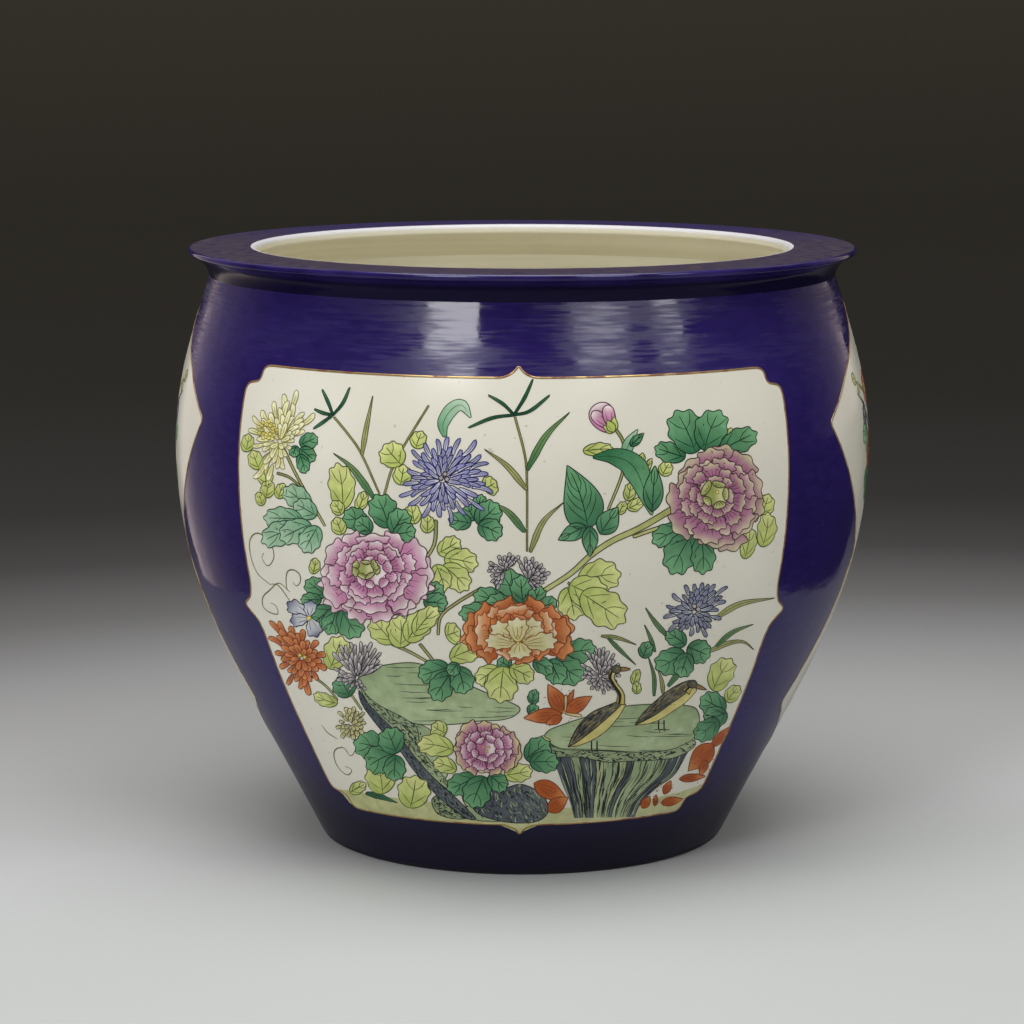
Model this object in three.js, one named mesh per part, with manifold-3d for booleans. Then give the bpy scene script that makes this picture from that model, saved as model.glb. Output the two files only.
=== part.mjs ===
import * as THREE from 'three';
import { mergeVertices } from 'three/addons/utils/BufferGeometryUtils.js';
import Module from 'manifold-3d';

// A large Chinese porcelain fish bowl with a flat overhanging rim, a cobalt blue ground and four
// painted reserves. Millimetres, +Z up. The origin is on the floor under the bowl's axis, and the
// front reserve faces -Y. Angles are in degrees round the axis from -Y, positive towards +X.

const wasm = await Module();
wasm.setup();

// Body of the bowl, measured over the glaze
const foot_radius = 135.7;
const foot_edge_round = 3.5;
const foot_ring_width = 14;
const foot_recess = 5;
const floor_height = 20;
const floor_corner_width = 26;
const floor_corner_rise = 16;
const belly_radius = 229.3;
const belly_height = 263;
const shoulder_height = 111;
const neck_inset = 23.6;
const wall_thickness = 11.5;

// Rim
const rim_height = 18.2;
const lip_overhang = 13.8;
const lip_edge_radius = 2.3;
const rim_width = 44.5;
const inner_lip_round = 3;
const inner_lip_depth = 7;
const under_lip_round = 2;
const under_lip_rise = 16;
const under_lip_end_angle = 230;
const white_edge_width = 0.5;

// Fullness of the body's two curves, as shares of their own width and height
const foot_flare_shares = [0.59, 0.431];
const belly_rise_share = 0.637;
const belly_fall_share = 0.36;
const neck_lean_shares = [0.52, 0.65];
const cove_shares = [0.15, 0.7];
const floor_corner_shares = [0.22, 0.12];

// Thrown sections and the slip that joins them
const lute_thickness = 1.5;
const floor_joint_margin = 6;
const belly_joint_share = 0.83;
const neck_joint_drop = 9;

// Glazes and gilding
const glaze_thickness = 0.8;
const seat_gap = 0.3;
const gilt_width = 1.5;
const gilt_proud = 0.3;
const glaze_line_height = 3.5;

// Front and back reserves, whose corners are stepped and whose edges have a small point
const front_half_angle = 48.3;
const front_top_drop = 44;
const front_bottom_height = 38;
const front_point_angle = 1.6;
const front_point_rise = 8.3;
const front_point_half_width = 9;
const front_corner_width = 13;
const front_corner_drop = 10.5;
const front_cusp_share = 0.469;
const front_cusp_reach = 13;
const front_cusp_half_height = 17;

// Side reserves, each a large lozenge that runs into a smaller one
const side_half_angle = 29.2;
const side_lower_half_angle = 22.5;
const side_waist_half_angle = 10;
const side_top_drop = 17;
const side_bottom_height = 43;
const side_upper_tip_share = 0.785;
const side_shoulder_angle_share = 0.68;
const side_shoulder_rise_share = 0.4;
const side_waist_share = 0.48;
const side_lower_tip_share = 0.185;

// Fineness of the facets
const segments = 36;
const lower_steps = 6;
const upper_steps = 4;
const round_steps = 3;
const inner_round_steps = 2;
const slant_step_angle = 5;
const cutter_reach = 4;
const cutter_core_share = 0.5;
const cutter_outer_share = 2.2;

// Levels and radii that follow from the sizes above
const neck_height = belly_height + shoulder_height;
const total_height = neck_height + rim_height;
const neck_radius = belly_radius - neck_inset;
const lip_radius = neck_radius + lip_overhang;
const mouth_radius = lip_radius - rim_width;
const floor_joint_height = floor_height + floor_corner_rise + floor_joint_margin;
const belly_joint_height = belly_height * belly_joint_share;
const neck_joint_height = neck_height - neck_joint_drop;
const clay_depth = glaze_thickness + seat_gap;

const lerp = THREE.MathUtils.lerp;
const point = (radius, height) => new THREE.Vector2(radius, height);

// Outer skin of the body, from the glaze line at the foot to the neck
function bodySkin() {
  const start = point(foot_radius, glaze_line_height);
  const flare_radius = lerp(foot_radius, belly_radius, foot_flare_shares[0]);
  const flare = point(flare_radius, belly_height * foot_flare_shares[1]);
  const rise = point(belly_radius, belly_height * belly_rise_share);
  const belly = point(belly_radius, belly_height);
  const fall = point(belly_radius, lerp(belly_height, neck_height, belly_fall_share));
  const lean_radius = lerp(neck_radius, belly_radius, neck_lean_shares[0]);
  const lean = point(lean_radius, lerp(belly_height, neck_height, neck_lean_shares[1]));
  const neck = point(neck_radius, neck_height);
  const lower = new THREE.CubicBezierCurve(start, flare, rise, belly);
  const upper = new THREE.CubicBezierCurve(belly, fall, lean, neck);
  return [...lower.getPoints(lower_steps), ...upper.getPoints(upper_steps).slice(1)];
}

// Points round an arc between two angles, both ends included
function arcPoints(centre, radius, from_degrees, to_degrees, steps) {
  return Array.from({ length: steps + 1 }, (_, i) => {
    const angle = THREE.MathUtils.degToRad(lerp(from_degrees, to_degrees, i / steps));
    return point(centre.x + radius * Math.cos(angle), centre.y + radius * Math.sin(angle));
  });
}

// Skin of the rim from the neck, out round the lip and back over the flat top
function rimSkin() {
  const neck = point(neck_radius, neck_height);
  const lip_bottom = total_height - 2 * lip_edge_radius;
  const cove_end = point(lip_radius - lip_edge_radius, lip_bottom);
  const cove_middle = point(
    lerp(neck.x, cove_end.x, cove_shares[0]),
    lerp(neck.y, cove_end.y, cove_shares[1]),
  );
  const cove = new THREE.QuadraticBezierCurve(neck, cove_middle, cove_end).getPoints(round_steps);
  const lip_centre = point(cove_end.x, total_height - lip_edge_radius);
  const lip = arcPoints(lip_centre, lip_edge_radius, -90, 90, round_steps);
  const top_end = point(mouth_radius + inner_lip_round + white_edge_width, total_height);
  return [...cove, ...lip.slice(1), top_end];
}

// Skin of the inside, from the flat top round the inner lip and down to the middle of the floor
function innerSkin(body) {
  const top_start = point(mouth_radius + inner_lip_round + white_edge_width, total_height);
  const lip_centre = point(mouth_radius + inner_lip_round, total_height - inner_lip_round);
  const lip = arcPoints(lip_centre, inner_lip_round, 90, 180, inner_round_steps);
  const lip_foot = total_height - inner_lip_depth;
  const under_centre = point(mouth_radius + under_lip_round, lip_foot + under_lip_round);
  const under = arcPoints(under_centre, under_lip_round, 180, under_lip_end_angle, inner_round_steps);
  const wall = offsetPath(body, wall_thickness);
  const corner_top = floor_height + floor_corner_rise;
  const wall_stretch = sliceByHeight(wall, corner_top, lip_foot - under_lip_rise).reverse();
  const corner_start = wall_stretch.at(-1);
  const corner_end = point(corner_start.x - floor_corner_width, floor_height);
  const corner_middle = point(
    corner_start.x - floor_corner_width * floor_corner_shares[0],
    floor_height + floor_corner_rise * floor_corner_shares[1],
  );
  const corner = new THREE.QuadraticBezierCurve(corner_start, corner_middle, corner_end);
  const floor = [...corner.getPoints(round_steps).slice(1), point(0, floor_height)];
  return [top_start, ...lip, ...under, ...wall_stretch, ...floor];
}

// A path moved sideways to its left by a distance, with mitred corners
function offsetPath(path, distance) {
  const sides = path.slice(1).map((next, i) => {
    const along = next.clone().sub(path[i]).normalize();
    return point(-along.y, along.x);
  });
  return path.map((spot, i) => {
    const before = sides[Math.max(i - 1, 0)];
    const after = sides[Math.min(i, sides.length - 1)];
    const mitre = before.clone().add(after);
    const scale = (2 * distance) / mitre.lengthSq();
    return spot.clone().add(mitre.multiplyScalar(scale));
  });
}

// The point of a rising path at a height
function atHeight(path, height) {
  const last = path.length - 1;
  const above = path.findIndex((spot) => spot.y > height);
  const i = above === -1 ? last : Math.max(above, 1);
  const share = (height - path[i - 1].y) / (path[i].y - path[i - 1].y);
  return point(lerp(path[i - 1].x, path[i].x, share), height);
}

// The stretch of a rising path between two heights
function sliceByHeight(path, low, high) {
  const between = path.filter((spot) => spot.y > low && spot.y < high);
  return [atHeight(path, low), ...between, atHeight(path, high)];
}

const body_skin = bodySkin();
const rim_skin = rimSkin();
const inner_skin = innerSkin(body_skin);
const skin = [...body_skin, ...rim_skin.slice(1), ...inner_skin.slice(1)];
const neck_index = body_skin.length - 1;
const edge_index = neck_index + rim_skin.length - 1;
const axis_index = skin.length - 1;

// The skin moved a depth into the clay, with its last point kept on the axis
function skinAtDepth(depth) {
  const moved = offsetPath(skin, depth);
  moved[axis_index].x = 0;
  return moved;
}

const clay = skinAtDepth(clay_depth);
const clay_outside = clay.slice(0, neck_index + 1);
const clay_inside = clay.slice(edge_index + 1, axis_index).reverse();

// A solid turned from a profile that runs anticlockwise, closed on itself or on the axis
function turned(profile) {
  const on_axis = profile[0].x === 0 && profile.at(-1).x === 0;
  const closed = on_axis ? profile : [...profile, profile[0]];
  const geometry = new THREE.LatheGeometry(closed, segments);
  return geometry.rotateX(Math.PI / 2);
}

// A glaze layer over one stretch of the skin, from a raised face down to the glaze's inner face
function glazeLayer(from_index, to_index, raise, start_gap) {
  const outer = skinAtDepth(-raise).slice(from_index, to_index + 1);
  const inner = skinAtDepth(glaze_thickness).slice(from_index, to_index + 1);
  for (const face of [outer, inner]) {
    const along = face[1].clone().sub(face[0]).normalize();
    face[0].addScaledVector(along, start_gap);
  }
  return turned([...inner.reverse(), ...outer]);
}

// One thrown section of the wall, or one lute, between two heights
function wallSection(low, high) {
  const outside = sliceByHeight(clay_outside, low, high);
  const inside = sliceByHeight(clay_inside, low, high);
  return turned([...outside, ...inside.reverse()]);
}

// The floor with its foot ring and the start of the wall
function footAndFloor() {
  const ring_outer = clay[0].x - foot_edge_round;
  const ring_inner = ring_outer - foot_ring_width;
  const underside = [
    point(0, foot_recess),
    point(ring_inner - foot_recess, foot_recess),
    point(ring_inner, 0),
    point(ring_outer, 0),
  ];
  const outside = [clay[0], ...sliceByHeight(clay_outside, clay[0].y, floor_joint_height).slice(1)];
  const inside = sliceByHeight(clay_inside, clay_inside[0].y, floor_joint_height).reverse();
  return turned([...underside, ...outside, ...inside, clay[axis_index]]);
}

// The rim section: neck, overhanging lip, flat top and inner lip
function rimFlange() {
  const low = neck_joint_height + lute_thickness;
  const start = atHeight(clay_outside, low);
  const end = atHeight(clay_inside, low);
  const above = clay.slice(0, axis_index).filter((spot) => spot.y > low);
  return turned([start, ...above, end]);
}

// A closed mesh from a geometry, as a solid for cutting
function solid(geometry) {
  const bare = geometry.clone().deleteAttribute('normal').deleteAttribute('uv');
  const merged = mergeVertices(bare);
  return new wasm.Manifold(new wasm.Mesh({
    numProp: 3,
    vertProperties: new Float32Array(merged.attributes.position.array),
    triVerts: new Uint32Array(merged.index.array),
  }));
}

// A cut solid back as a geometry
function geometryOf(cut) {
  const mesh = cut.getMesh();
  const geometry = new THREE.BufferGeometry();
  geometry.setAttribute('position', new THREE.BufferAttribute(new Float32Array(mesh.vertProperties), 3));
  geometry.setIndex(new THREE.BufferAttribute(new Uint32Array(mesh.triVerts), 1));
  geometry.computeVertexNormals();
  return geometry;
}

const radiusAt = (height) => atHeight(body_skin, height).x;
const arcDegrees = (length, height) => THREE.MathUtils.radToDeg(length / radiusAt(height));

// Outline of a front or back reserve, anticlockwise, as points of angle and height
function steppedOutline() {
  const top = neck_height - front_top_drop;
  const bottom = front_bottom_height;
  const cusp = lerp(bottom, top, front_cusp_share);
  const right = [
    ...pointedEdge(bottom, -1),
    ...steppedCorner(bottom, 1),
    ...cuspPoints(cusp),
    ...steppedCorner(top, -1).reverse(),
    ...pointedEdge(top, 1).reverse(),
  ];
  const left = right.slice(1, -1).reverse().map((spot) => mirrored(spot));
  return [...right, ...left];
}

// A point on the other side of the line through the small points of the two edges
function mirrored(spot) {
  const share = (spot.x - front_point_angle) / (front_half_angle - front_point_angle);
  return point(lerp(front_point_angle, -front_half_angle, share), spot.y);
}

// Half of the small point in the middle of the top or bottom edge
function pointedEdge(height, direction) {
  const tip = point(front_point_angle, height + direction * front_point_rise);
  const waist_shares = [0.22, 0.42];
  const waist = point(
    front_point_angle + arcDegrees(front_point_half_width * waist_shares[0], height),
    height + direction * front_point_rise * waist_shares[1],
  );
  const end = point(front_point_angle + arcDegrees(front_point_half_width, height), height);
  return [tip, waist, end];
}

// A stepped corner, from the level edge out and up (or down) to the upright side
function steppedCorner(height, direction) {
  const spot_shares = [
    [1.45, 0], [1.13, 0.08], [1, 0.36], [1, 0.86],
    [0.8, 1], [0.28, 1.06], [0.06, 1.26], [0, 1.75],
  ];
  return spot_shares.map(([inward, upward]) => point(
    front_half_angle - arcDegrees(front_corner_width * inward, height),
    height + direction * front_corner_drop * upward,
  ));
}

// The outward point on an upright side, from below it to above it
function cuspPoints(height) {
  const spot_shares = [[0, -1], [0.2, -0.48], [1, 0], [0.24, 0.42], [0, 1]];
  return spot_shares.map(([outward, upward]) => point(
    front_half_angle + arcDegrees(front_cusp_reach * outward, height),
    height + front_cusp_half_height * upward,
  ));
}

// Outline of a side reserve, anticlockwise, from its foot up one side and down the other
function lozengeOutline() {
  const top = neck_height - side_top_drop;
  const level = (share) => lerp(side_bottom_height, top, share);
  const shoulder = lerp(level(side_upper_tip_share), top, side_shoulder_rise_share);
  const right = [
    point(0, side_bottom_height),
    point(side_lower_half_angle, level(side_lower_tip_share)),
    point(side_waist_half_angle, level(side_waist_share)),
    point(side_half_angle, level(side_upper_tip_share)),
    point(side_half_angle * side_shoulder_angle_share, shoulder),
    point(0, top),
  ];
  const left = right.slice(1, -1).reverse().map((spot) => point(-spot.x, spot.y));
  return [...right, ...left];
}

// An outline drawn in by a distance on the surface
function insetOutline(outline, distance) {
  const count = outline.length;
  const side = (from, to, radius) => {
    const wide = THREE.MathUtils.degToRad(to.x - from.x) * radius;
    const tall = to.y - from.y;
    const length = Math.hypot(wide, tall);
    return point(-tall / length, wide / length);
  };
  return outline.map((spot, i) => {
    const radius = radiusAt(spot.y);
    const before = side(outline[(i + count - 1) % count], spot, radius);
    const after = side(spot, outline[(i + 1) % count], radius);
    const mitre = before.add(after);
    mitre.multiplyScalar((2 * distance) / mitre.lengthSq());
    return point(spot.x + arcDegrees(mitre.x, spot.y), spot.y + mitre.y);
  });
}

// Slanting edges split into short ones, so that they follow the round body
function refined(outline) {
  return outline.flatMap((spot, i) => {
    const next = outline[(i + 1) % outline.length];
    const level = Math.abs(next.y - spot.y) < seat_gap;
    const steps = level ? 1 : Math.max(1, Math.ceil(Math.abs(next.x - spot.x) / slant_step_angle));
    return Array.from({ length: steps }, (_, k) => spot.clone().lerp(next, k / steps));
  });
}

// A radial block that passes through the glaze inside an outline
function panelCutter(outline, facing) {
  const spots = refined(outline);
  const rings = [
    () => foot_radius * cutter_core_share,
    (height) => radiusAt(height) - cutter_reach,
    (height) => radiusAt(height) + cutter_reach,
    () => belly_radius * cutter_outer_share,
  ];
  const positions = rings.flatMap((radius) => spots.flatMap((spot) => {
    const angle = THREE.MathUtils.degToRad(spot.x + facing);
    const r = radius(spot.y);
    return [r * Math.sin(angle), -r * Math.cos(angle), spot.y];
  }));
  const count = spots.length;
  const outer = (rings.length - 1) * count;
  const faces = THREE.ShapeUtils.triangulateShape(spots, []).flatMap(([a, b, c]) => (
    [a, c, b, outer + a, outer + b, outer + c]
  ));
  for (let ring = 0; ring < outer; ring += count) {
    for (let i = 0; i < count; i += 1) {
      const a = ring + i;
      const b = ring + ((i + 1) % count);
      faces.push(a, b, b + count, a, b + count, a + count);
    }
  }
  return new wasm.Manifold(new wasm.Mesh({
    numProp: 3,
    vertProperties: new Float32Array(positions),
    triVerts: new Uint32Array(faces),
  }));
}

const bowl = new THREE.Group();

// One named piece of the bowl in its finish
function addPiece(name, geometry, finish) {
  const mesh = new THREE.Mesh(geometry, new THREE.MeshStandardMaterial(finish));
  mesh.name = name;
  bowl.add(mesh);
}

const biscuit = { color: 0xd8d0bf, roughness: 0.8, metalness: 0 };
const slip = { color: 0xe4ddcc, roughness: 0.9, metalness: 0 };
const cobalt_glaze = { color: 0x241a5a, roughness: 0.15, metalness: 0 };
const clear_glaze = { color: 0xd6d2ba, roughness: 0.2, metalness: 0 };
const reserve_glaze = { color: 0xe6e3d6, roughness: 0.2, metalness: 0 };
const gilding = { color: 0xb88a45, roughness: 0.35, metalness: 0.8 };

// Thrown sections, from the floor up, with the lutes between them
addPiece('foot_and_floor', footAndFloor(), biscuit);
const joints = [
  { lute: 'floor_lute', height: floor_joint_height, above: 'lower_wall' },
  { lute: 'belly_lute', height: belly_joint_height, above: 'upper_wall' },
  { lute: 'neck_lute', height: neck_joint_height, above: 'rim_flange' },
];
joints.forEach(({ lute, height, above }, i) => {
  const top = height + lute_thickness;
  addPiece(lute, wallSection(height, top), slip);
  const next = joints[i + 1];
  addPiece(above, next ? wallSection(top, next.height) : rimFlange(), biscuit);
});

// Glazes that cover whole surfaces
addPiece('inner_glaze', glazeLayer(edge_index, axis_index, 0, seat_gap), clear_glaze);
addPiece('blue_rim_glaze', glazeLayer(neck_index, edge_index, 0, seat_gap), cobalt_glaze);

// Reserves, their gilt lines and the blue glaze round them
const glaze_shell = solid(glazeLayer(0, neck_index, 0, 0));
const gilt_shell = solid(glazeLayer(0, neck_index, gilt_proud, 0));
const stepped = steppedOutline();
const lozenge = lozengeOutline();
const reserves = [
  { place: 'front', outline: stepped, facing: 0 },
  { place: 'right', outline: lozenge, facing: 90 },
  { place: 'back', outline: stepped, facing: 180 },
  { place: 'left', outline: lozenge, facing: 270 },
];
let blue_shell = glaze_shell;
for (const { place, outline, facing } of reserves) {
  const opening = panelCutter(outline, facing);
  const gilt_outer = panelCutter(insetOutline(outline, seat_gap), facing);
  const gilt_inner = panelCutter(insetOutline(outline, seat_gap + gilt_width), facing);
  const panel = panelCutter(insetOutline(outline, 2 * seat_gap + gilt_width), facing);
  blue_shell = blue_shell.subtract(opening);
  const line = gilt_shell.intersect(gilt_outer).subtract(gilt_inner);
  addPiece(`${place}_reserve_glaze`, geometryOf(glaze_shell.intersect(panel)), reserve_glaze);
  addPiece(`${place}_gilt_line`, geometryOf(line), gilding);
}
addPiece('blue_body_glaze', geometryOf(blue_shell), cobalt_glaze);

export default bowl;
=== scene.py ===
import math
import random

import bpy
import numpy as np
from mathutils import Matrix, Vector
from mathutils.geometry import delaunay_2d_cdt


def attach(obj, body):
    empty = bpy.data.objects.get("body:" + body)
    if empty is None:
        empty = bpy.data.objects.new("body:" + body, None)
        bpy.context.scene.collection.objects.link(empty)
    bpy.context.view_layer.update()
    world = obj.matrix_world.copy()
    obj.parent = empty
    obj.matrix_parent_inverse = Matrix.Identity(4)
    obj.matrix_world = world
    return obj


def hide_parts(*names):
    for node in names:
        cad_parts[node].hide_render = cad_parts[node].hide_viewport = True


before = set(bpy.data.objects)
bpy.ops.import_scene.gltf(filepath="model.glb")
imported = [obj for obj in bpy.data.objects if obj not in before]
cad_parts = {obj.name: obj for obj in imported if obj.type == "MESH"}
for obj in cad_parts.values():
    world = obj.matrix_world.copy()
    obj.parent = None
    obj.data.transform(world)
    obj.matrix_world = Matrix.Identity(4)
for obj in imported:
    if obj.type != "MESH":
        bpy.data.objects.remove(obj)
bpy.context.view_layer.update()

# Millimetres, as in the bowl's source. The scene's own lengths are in metres.
MM = 0.001

# Body of the bowl, measured over the glaze
FOOT_RADIUS = 135.7
FOOT_EDGE_ROUND = 3.5
FOOT_RING_WIDTH = 14
FOOT_RECESS = 5
FLOOR_HEIGHT = 20
FLOOR_CORNER_WIDTH = 26
FLOOR_CORNER_RISE = 16
BELLY_RADIUS = 229.3
BELLY_HEIGHT = 263
SHOULDER_HEIGHT = 111
NECK_INSET = 23.6
WALL_THICKNESS = 11.5
RIM_HEIGHT = 18.2
LIP_OVERHANG = 13.8
LIP_EDGE_RADIUS = 2.3
RIM_WIDTH = 44.5
INNER_LIP_ROUND = 3
INNER_LIP_DEPTH = 7
UNDER_LIP_ROUND = 2
UNDER_LIP_RISE = 16
UNDER_LIP_END_ANGLE = 230
WHITE_EDGE_WIDTH = 0.5
FOOT_FLARE_SHARES = (0.59, 0.431)
BELLY_RISE_SHARE = 0.637
BELLY_FALL_SHARE = 0.36
NECK_LEAN_SHARES = (0.52, 0.65)
COVE_SHARES = (0.15, 0.7)
FLOOR_CORNER_SHARES = (0.22, 0.12)
LUTE_THICKNESS = 1.5
FLOOR_JOINT_MARGIN = 6
BELLY_JOINT_SHARE = 0.83
NECK_JOINT_DROP = 9
GLAZE_THICKNESS = 0.8
GLAZE_LINE_HEIGHT = 3.5
FOOT_RING_BEVEL = 1
FOOT_RING_BEVEL_RISE = 0.6
GILT_WIDTH = 1.5
GILT_HEIGHT = 0.3

# Reserves, as angles in degrees round the axis from -Y towards +X, and heights
FRONT_HALF_ANGLE = 48.3
FRONT_TOP_DROP = 44
FRONT_BOTTOM_HEIGHT = 38
FRONT_POINT_ANGLE = 1.6
FRONT_POINT_RISE = 8.3
FRONT_POINT_HALF_WIDTH = 9
FRONT_CORNER_WIDTH = 13
FRONT_CORNER_DROP = 10.5
FRONT_CUSP_SHARE = 0.469
FRONT_CUSP_REACH = 13
FRONT_CUSP_HALF_HEIGHT = 17
SIDE_HALF_ANGLE = 29.2
SIDE_LOWER_HALF_ANGLE = 22.5
SIDE_WAIST_HALF_ANGLE = 10
SIDE_TOP_DROP = 17
SIDE_BOTTOM_HEIGHT = 43
SIDE_UPPER_TIP_SHARE = 0.785
SIDE_SHOULDER_ANGLE_SHARE = 0.68
SIDE_SHOULDER_RISE_SHARE = 0.4
SIDE_WAIST_SHARE = 0.48
SIDE_LOWER_TIP_SHARE = 0.185
POINT_WAIST_SHARES = (0.22, 0.42)
CORNER_SHARES = [
    (1.45, 0), (1.13, 0.08), (1, 0.36), (1, 0.86), (0.8, 1), (0.28, 1.06), (0.06, 1.26), (0, 1.75),
]
CUSP_SHARES = [(0, -1), (0.2, -0.48), (1, 0), (0.24, 0.42), (0, 1)]

# Section of a gilt line, in shares of its width and height
GILT_SECTION = [(-0.5, -0.5), (-0.36, 0.7), (0, 1), (0.36, 0.7), (0.5, -0.5)]

# Levels and radii that follow
NECK_HEIGHT = BELLY_HEIGHT + SHOULDER_HEIGHT
TOTAL_HEIGHT = NECK_HEIGHT + RIM_HEIGHT
NECK_RADIUS = BELLY_RADIUS - NECK_INSET
LIP_RADIUS = NECK_RADIUS + LIP_OVERHANG
MOUTH_RADIUS = LIP_RADIUS - RIM_WIDTH
WHITE_EDGE_RADIUS = MOUTH_RADIUS + INNER_LIP_ROUND + WHITE_EDGE_WIDTH

# Length along the belly for one degree round it
DEGREE_LENGTH = math.radians(BELLY_RADIUS)

# Camera, in metres, degrees and pixels of the front view
CAMERA_DISTANCE = 2.3
CAMERA_HEIGHT = 0.58
CAMERA_PITCH = 9.05
CAMERA_SIDE = -0.0067
CAMERA_ORBIT = 2.3
FOCAL_PIXELS = 3490
PICTURE_PIXELS = 1024
SENSOR_WIDTH = 36

# Fineness of the smooth surfaces
CURVE_STEPS = 48
ARC_STEPS = 8
AROUND_STEPS = 192
GLAZE_ROWS = 56
SEAM_ANGLE = 56
OUTLINE_STEP = 2.5
OUTLINE_SOFTENING = 3.2
SOFTENING_SPOTS = 7
SMOOTH_DEGREES = 30
AXIS_TOLERANCE = 1e-6
FIELD_TOLERANCE = 1e-5
PATCH_TOLERANCE = 1e-4


def lerp(a, b, share):
    return a + (b - a) * share


# Profile of the bowl

def bezier(points, steps):
    """Points along a curve that its middle points pull, both ends included."""
    share = np.linspace(0, 1, steps + 1)[:, None]
    layer = [np.array(spot, float) for spot in points]
    while len(layer) > 1:
        layer = [lerp(a, b, share) for a, b in zip(layer, layer[1:])]
    return layer[0]


def arc(centre, radius, from_degrees, to_degrees):
    angle = np.radians(np.linspace(from_degrees, to_degrees, ARC_STEPS + 1))
    return np.column_stack([centre[0] + radius * np.cos(angle), centre[1] + radius * np.sin(angle)])


def body_profile():
    """Outer skin from the glaze line at the foot to the neck, as radius and height."""
    flare = (lerp(FOOT_RADIUS, BELLY_RADIUS, FOOT_FLARE_SHARES[0]), BELLY_HEIGHT * FOOT_FLARE_SHARES[1])
    lower = bezier([
        (FOOT_RADIUS, GLAZE_LINE_HEIGHT),
        flare,
        (BELLY_RADIUS, BELLY_HEIGHT * BELLY_RISE_SHARE),
        (BELLY_RADIUS, BELLY_HEIGHT),
    ], CURVE_STEPS)
    upper = bezier([
        (BELLY_RADIUS, BELLY_HEIGHT),
        (BELLY_RADIUS, lerp(BELLY_HEIGHT, NECK_HEIGHT, BELLY_FALL_SHARE)),
        (
            lerp(NECK_RADIUS, BELLY_RADIUS, NECK_LEAN_SHARES[0]),
            lerp(BELLY_HEIGHT, NECK_HEIGHT, NECK_LEAN_SHARES[1]),
        ),
        (NECK_RADIUS, NECK_HEIGHT),
    ], CURVE_STEPS)
    return np.vstack([lower, upper[1:]])


def rim_profile():
    """Skin of the rim from the neck, round the lip and back over the flat top."""
    neck = (NECK_RADIUS, NECK_HEIGHT)
    cove_end = (LIP_RADIUS - LIP_EDGE_RADIUS, TOTAL_HEIGHT - 2 * LIP_EDGE_RADIUS)
    cove_middle = (lerp(neck[0], cove_end[0], COVE_SHARES[0]), lerp(neck[1], cove_end[1], COVE_SHARES[1]))
    cove = bezier([neck, cove_middle, cove_end], ARC_STEPS)
    lip = arc((cove_end[0], TOTAL_HEIGHT - LIP_EDGE_RADIUS), LIP_EDGE_RADIUS, -90, 90)
    top = bezier([lip[-1], (WHITE_EDGE_RADIUS, TOTAL_HEIGHT)], ARC_STEPS)
    return np.vstack([cove, lip[1:], top[1:]])


def inner_profile(body):
    """Skin of the inside from the flat top down to the middle of the floor."""
    lip = arc((MOUTH_RADIUS + INNER_LIP_ROUND, TOTAL_HEIGHT - INNER_LIP_ROUND), INNER_LIP_ROUND, 90, 180)
    lip_foot = TOTAL_HEIGHT - INNER_LIP_DEPTH
    under_centre = (MOUTH_RADIUS + UNDER_LIP_ROUND, lip_foot + UNDER_LIP_ROUND)
    under = arc(under_centre, UNDER_LIP_ROUND, 180, UNDER_LIP_END_ANGLE)
    wall = offset_path(body, WALL_THICKNESS)
    corner_top = FLOOR_HEIGHT + FLOOR_CORNER_RISE
    wall = slice_by_height(wall, corner_top, lip_foot - UNDER_LIP_RISE)[::-1]
    start = wall[-1]
    middle = (
        start[0] - FLOOR_CORNER_WIDTH * FLOOR_CORNER_SHARES[0],
        FLOOR_HEIGHT + FLOOR_CORNER_RISE * FLOOR_CORNER_SHARES[1],
    )
    corner = bezier([start, middle, (start[0] - FLOOR_CORNER_WIDTH, FLOOR_HEIGHT)], ARC_STEPS)
    floor = bezier([corner[-1], (0, FLOOR_HEIGHT)], ARC_STEPS)
    return np.vstack([[(WHITE_EDGE_RADIUS, TOTAL_HEIGHT)], lip, under, wall, corner[1:], floor[1:]])


def offset_path(path, distance):
    """A path moved to its left by a distance, with mitred corners."""
    along = np.diff(path, axis=0)
    along /= np.linalg.norm(along, axis=1)[:, None]
    side = np.column_stack([-along[:, 1], along[:, 0]])
    mitre = np.vstack([side[:1], side]) + np.vstack([side, side[-1:]])
    return path + mitre * (2 * distance / (mitre ** 2).sum(axis=1))[:, None]


def slice_by_height(path, low, high):
    """The stretch of a rising path between two heights."""
    ends = [(np.interp(level, path[:, 1], path[:, 0]), level) for level in (low, high)]
    between = path[(path[:, 1] > low) & (path[:, 1] < high)]
    return np.vstack([ends[:1], between, ends[1:]])


body_skin = body_profile()
rim_skin = rim_profile()
inner_skin = inner_profile(body_skin)
skin = np.vstack([body_skin, rim_skin[1:], inner_skin[1:]])
NECK_INDEX = len(body_skin) - 1
EDGE_INDEX = NECK_INDEX + len(rim_skin) - 1

# Radius, slope and run of the outer skin at a height
skin_rise = np.gradient(body_skin, axis=0)
skin_rise /= np.linalg.norm(skin_rise, axis=1)[:, None]
skin_run = np.concatenate([[0], np.cumsum(np.linalg.norm(np.diff(body_skin, axis=0), axis=1))])


def radius_at(height):
    return np.interp(height, body_skin[:, 1], body_skin[:, 0])


def on_skin(angle, height, lift=0.0):
    """Points of the outer skin and their normals, from angles in radians and heights."""
    radius = radius_at(height)
    outward = np.interp(height, body_skin[:, 1], skin_rise[:, 1])
    upward = -np.interp(height, body_skin[:, 1], skin_rise[:, 0])
    normal = np.column_stack([outward * np.sin(angle), -outward * np.cos(angle), upward])
    normal /= np.linalg.norm(normal, axis=1)[:, None]
    spot = np.column_stack([radius * np.sin(angle), -radius * np.cos(angle), height])
    return spot + normal * np.reshape(lift, (-1, 1)), normal


# Meshes

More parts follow.
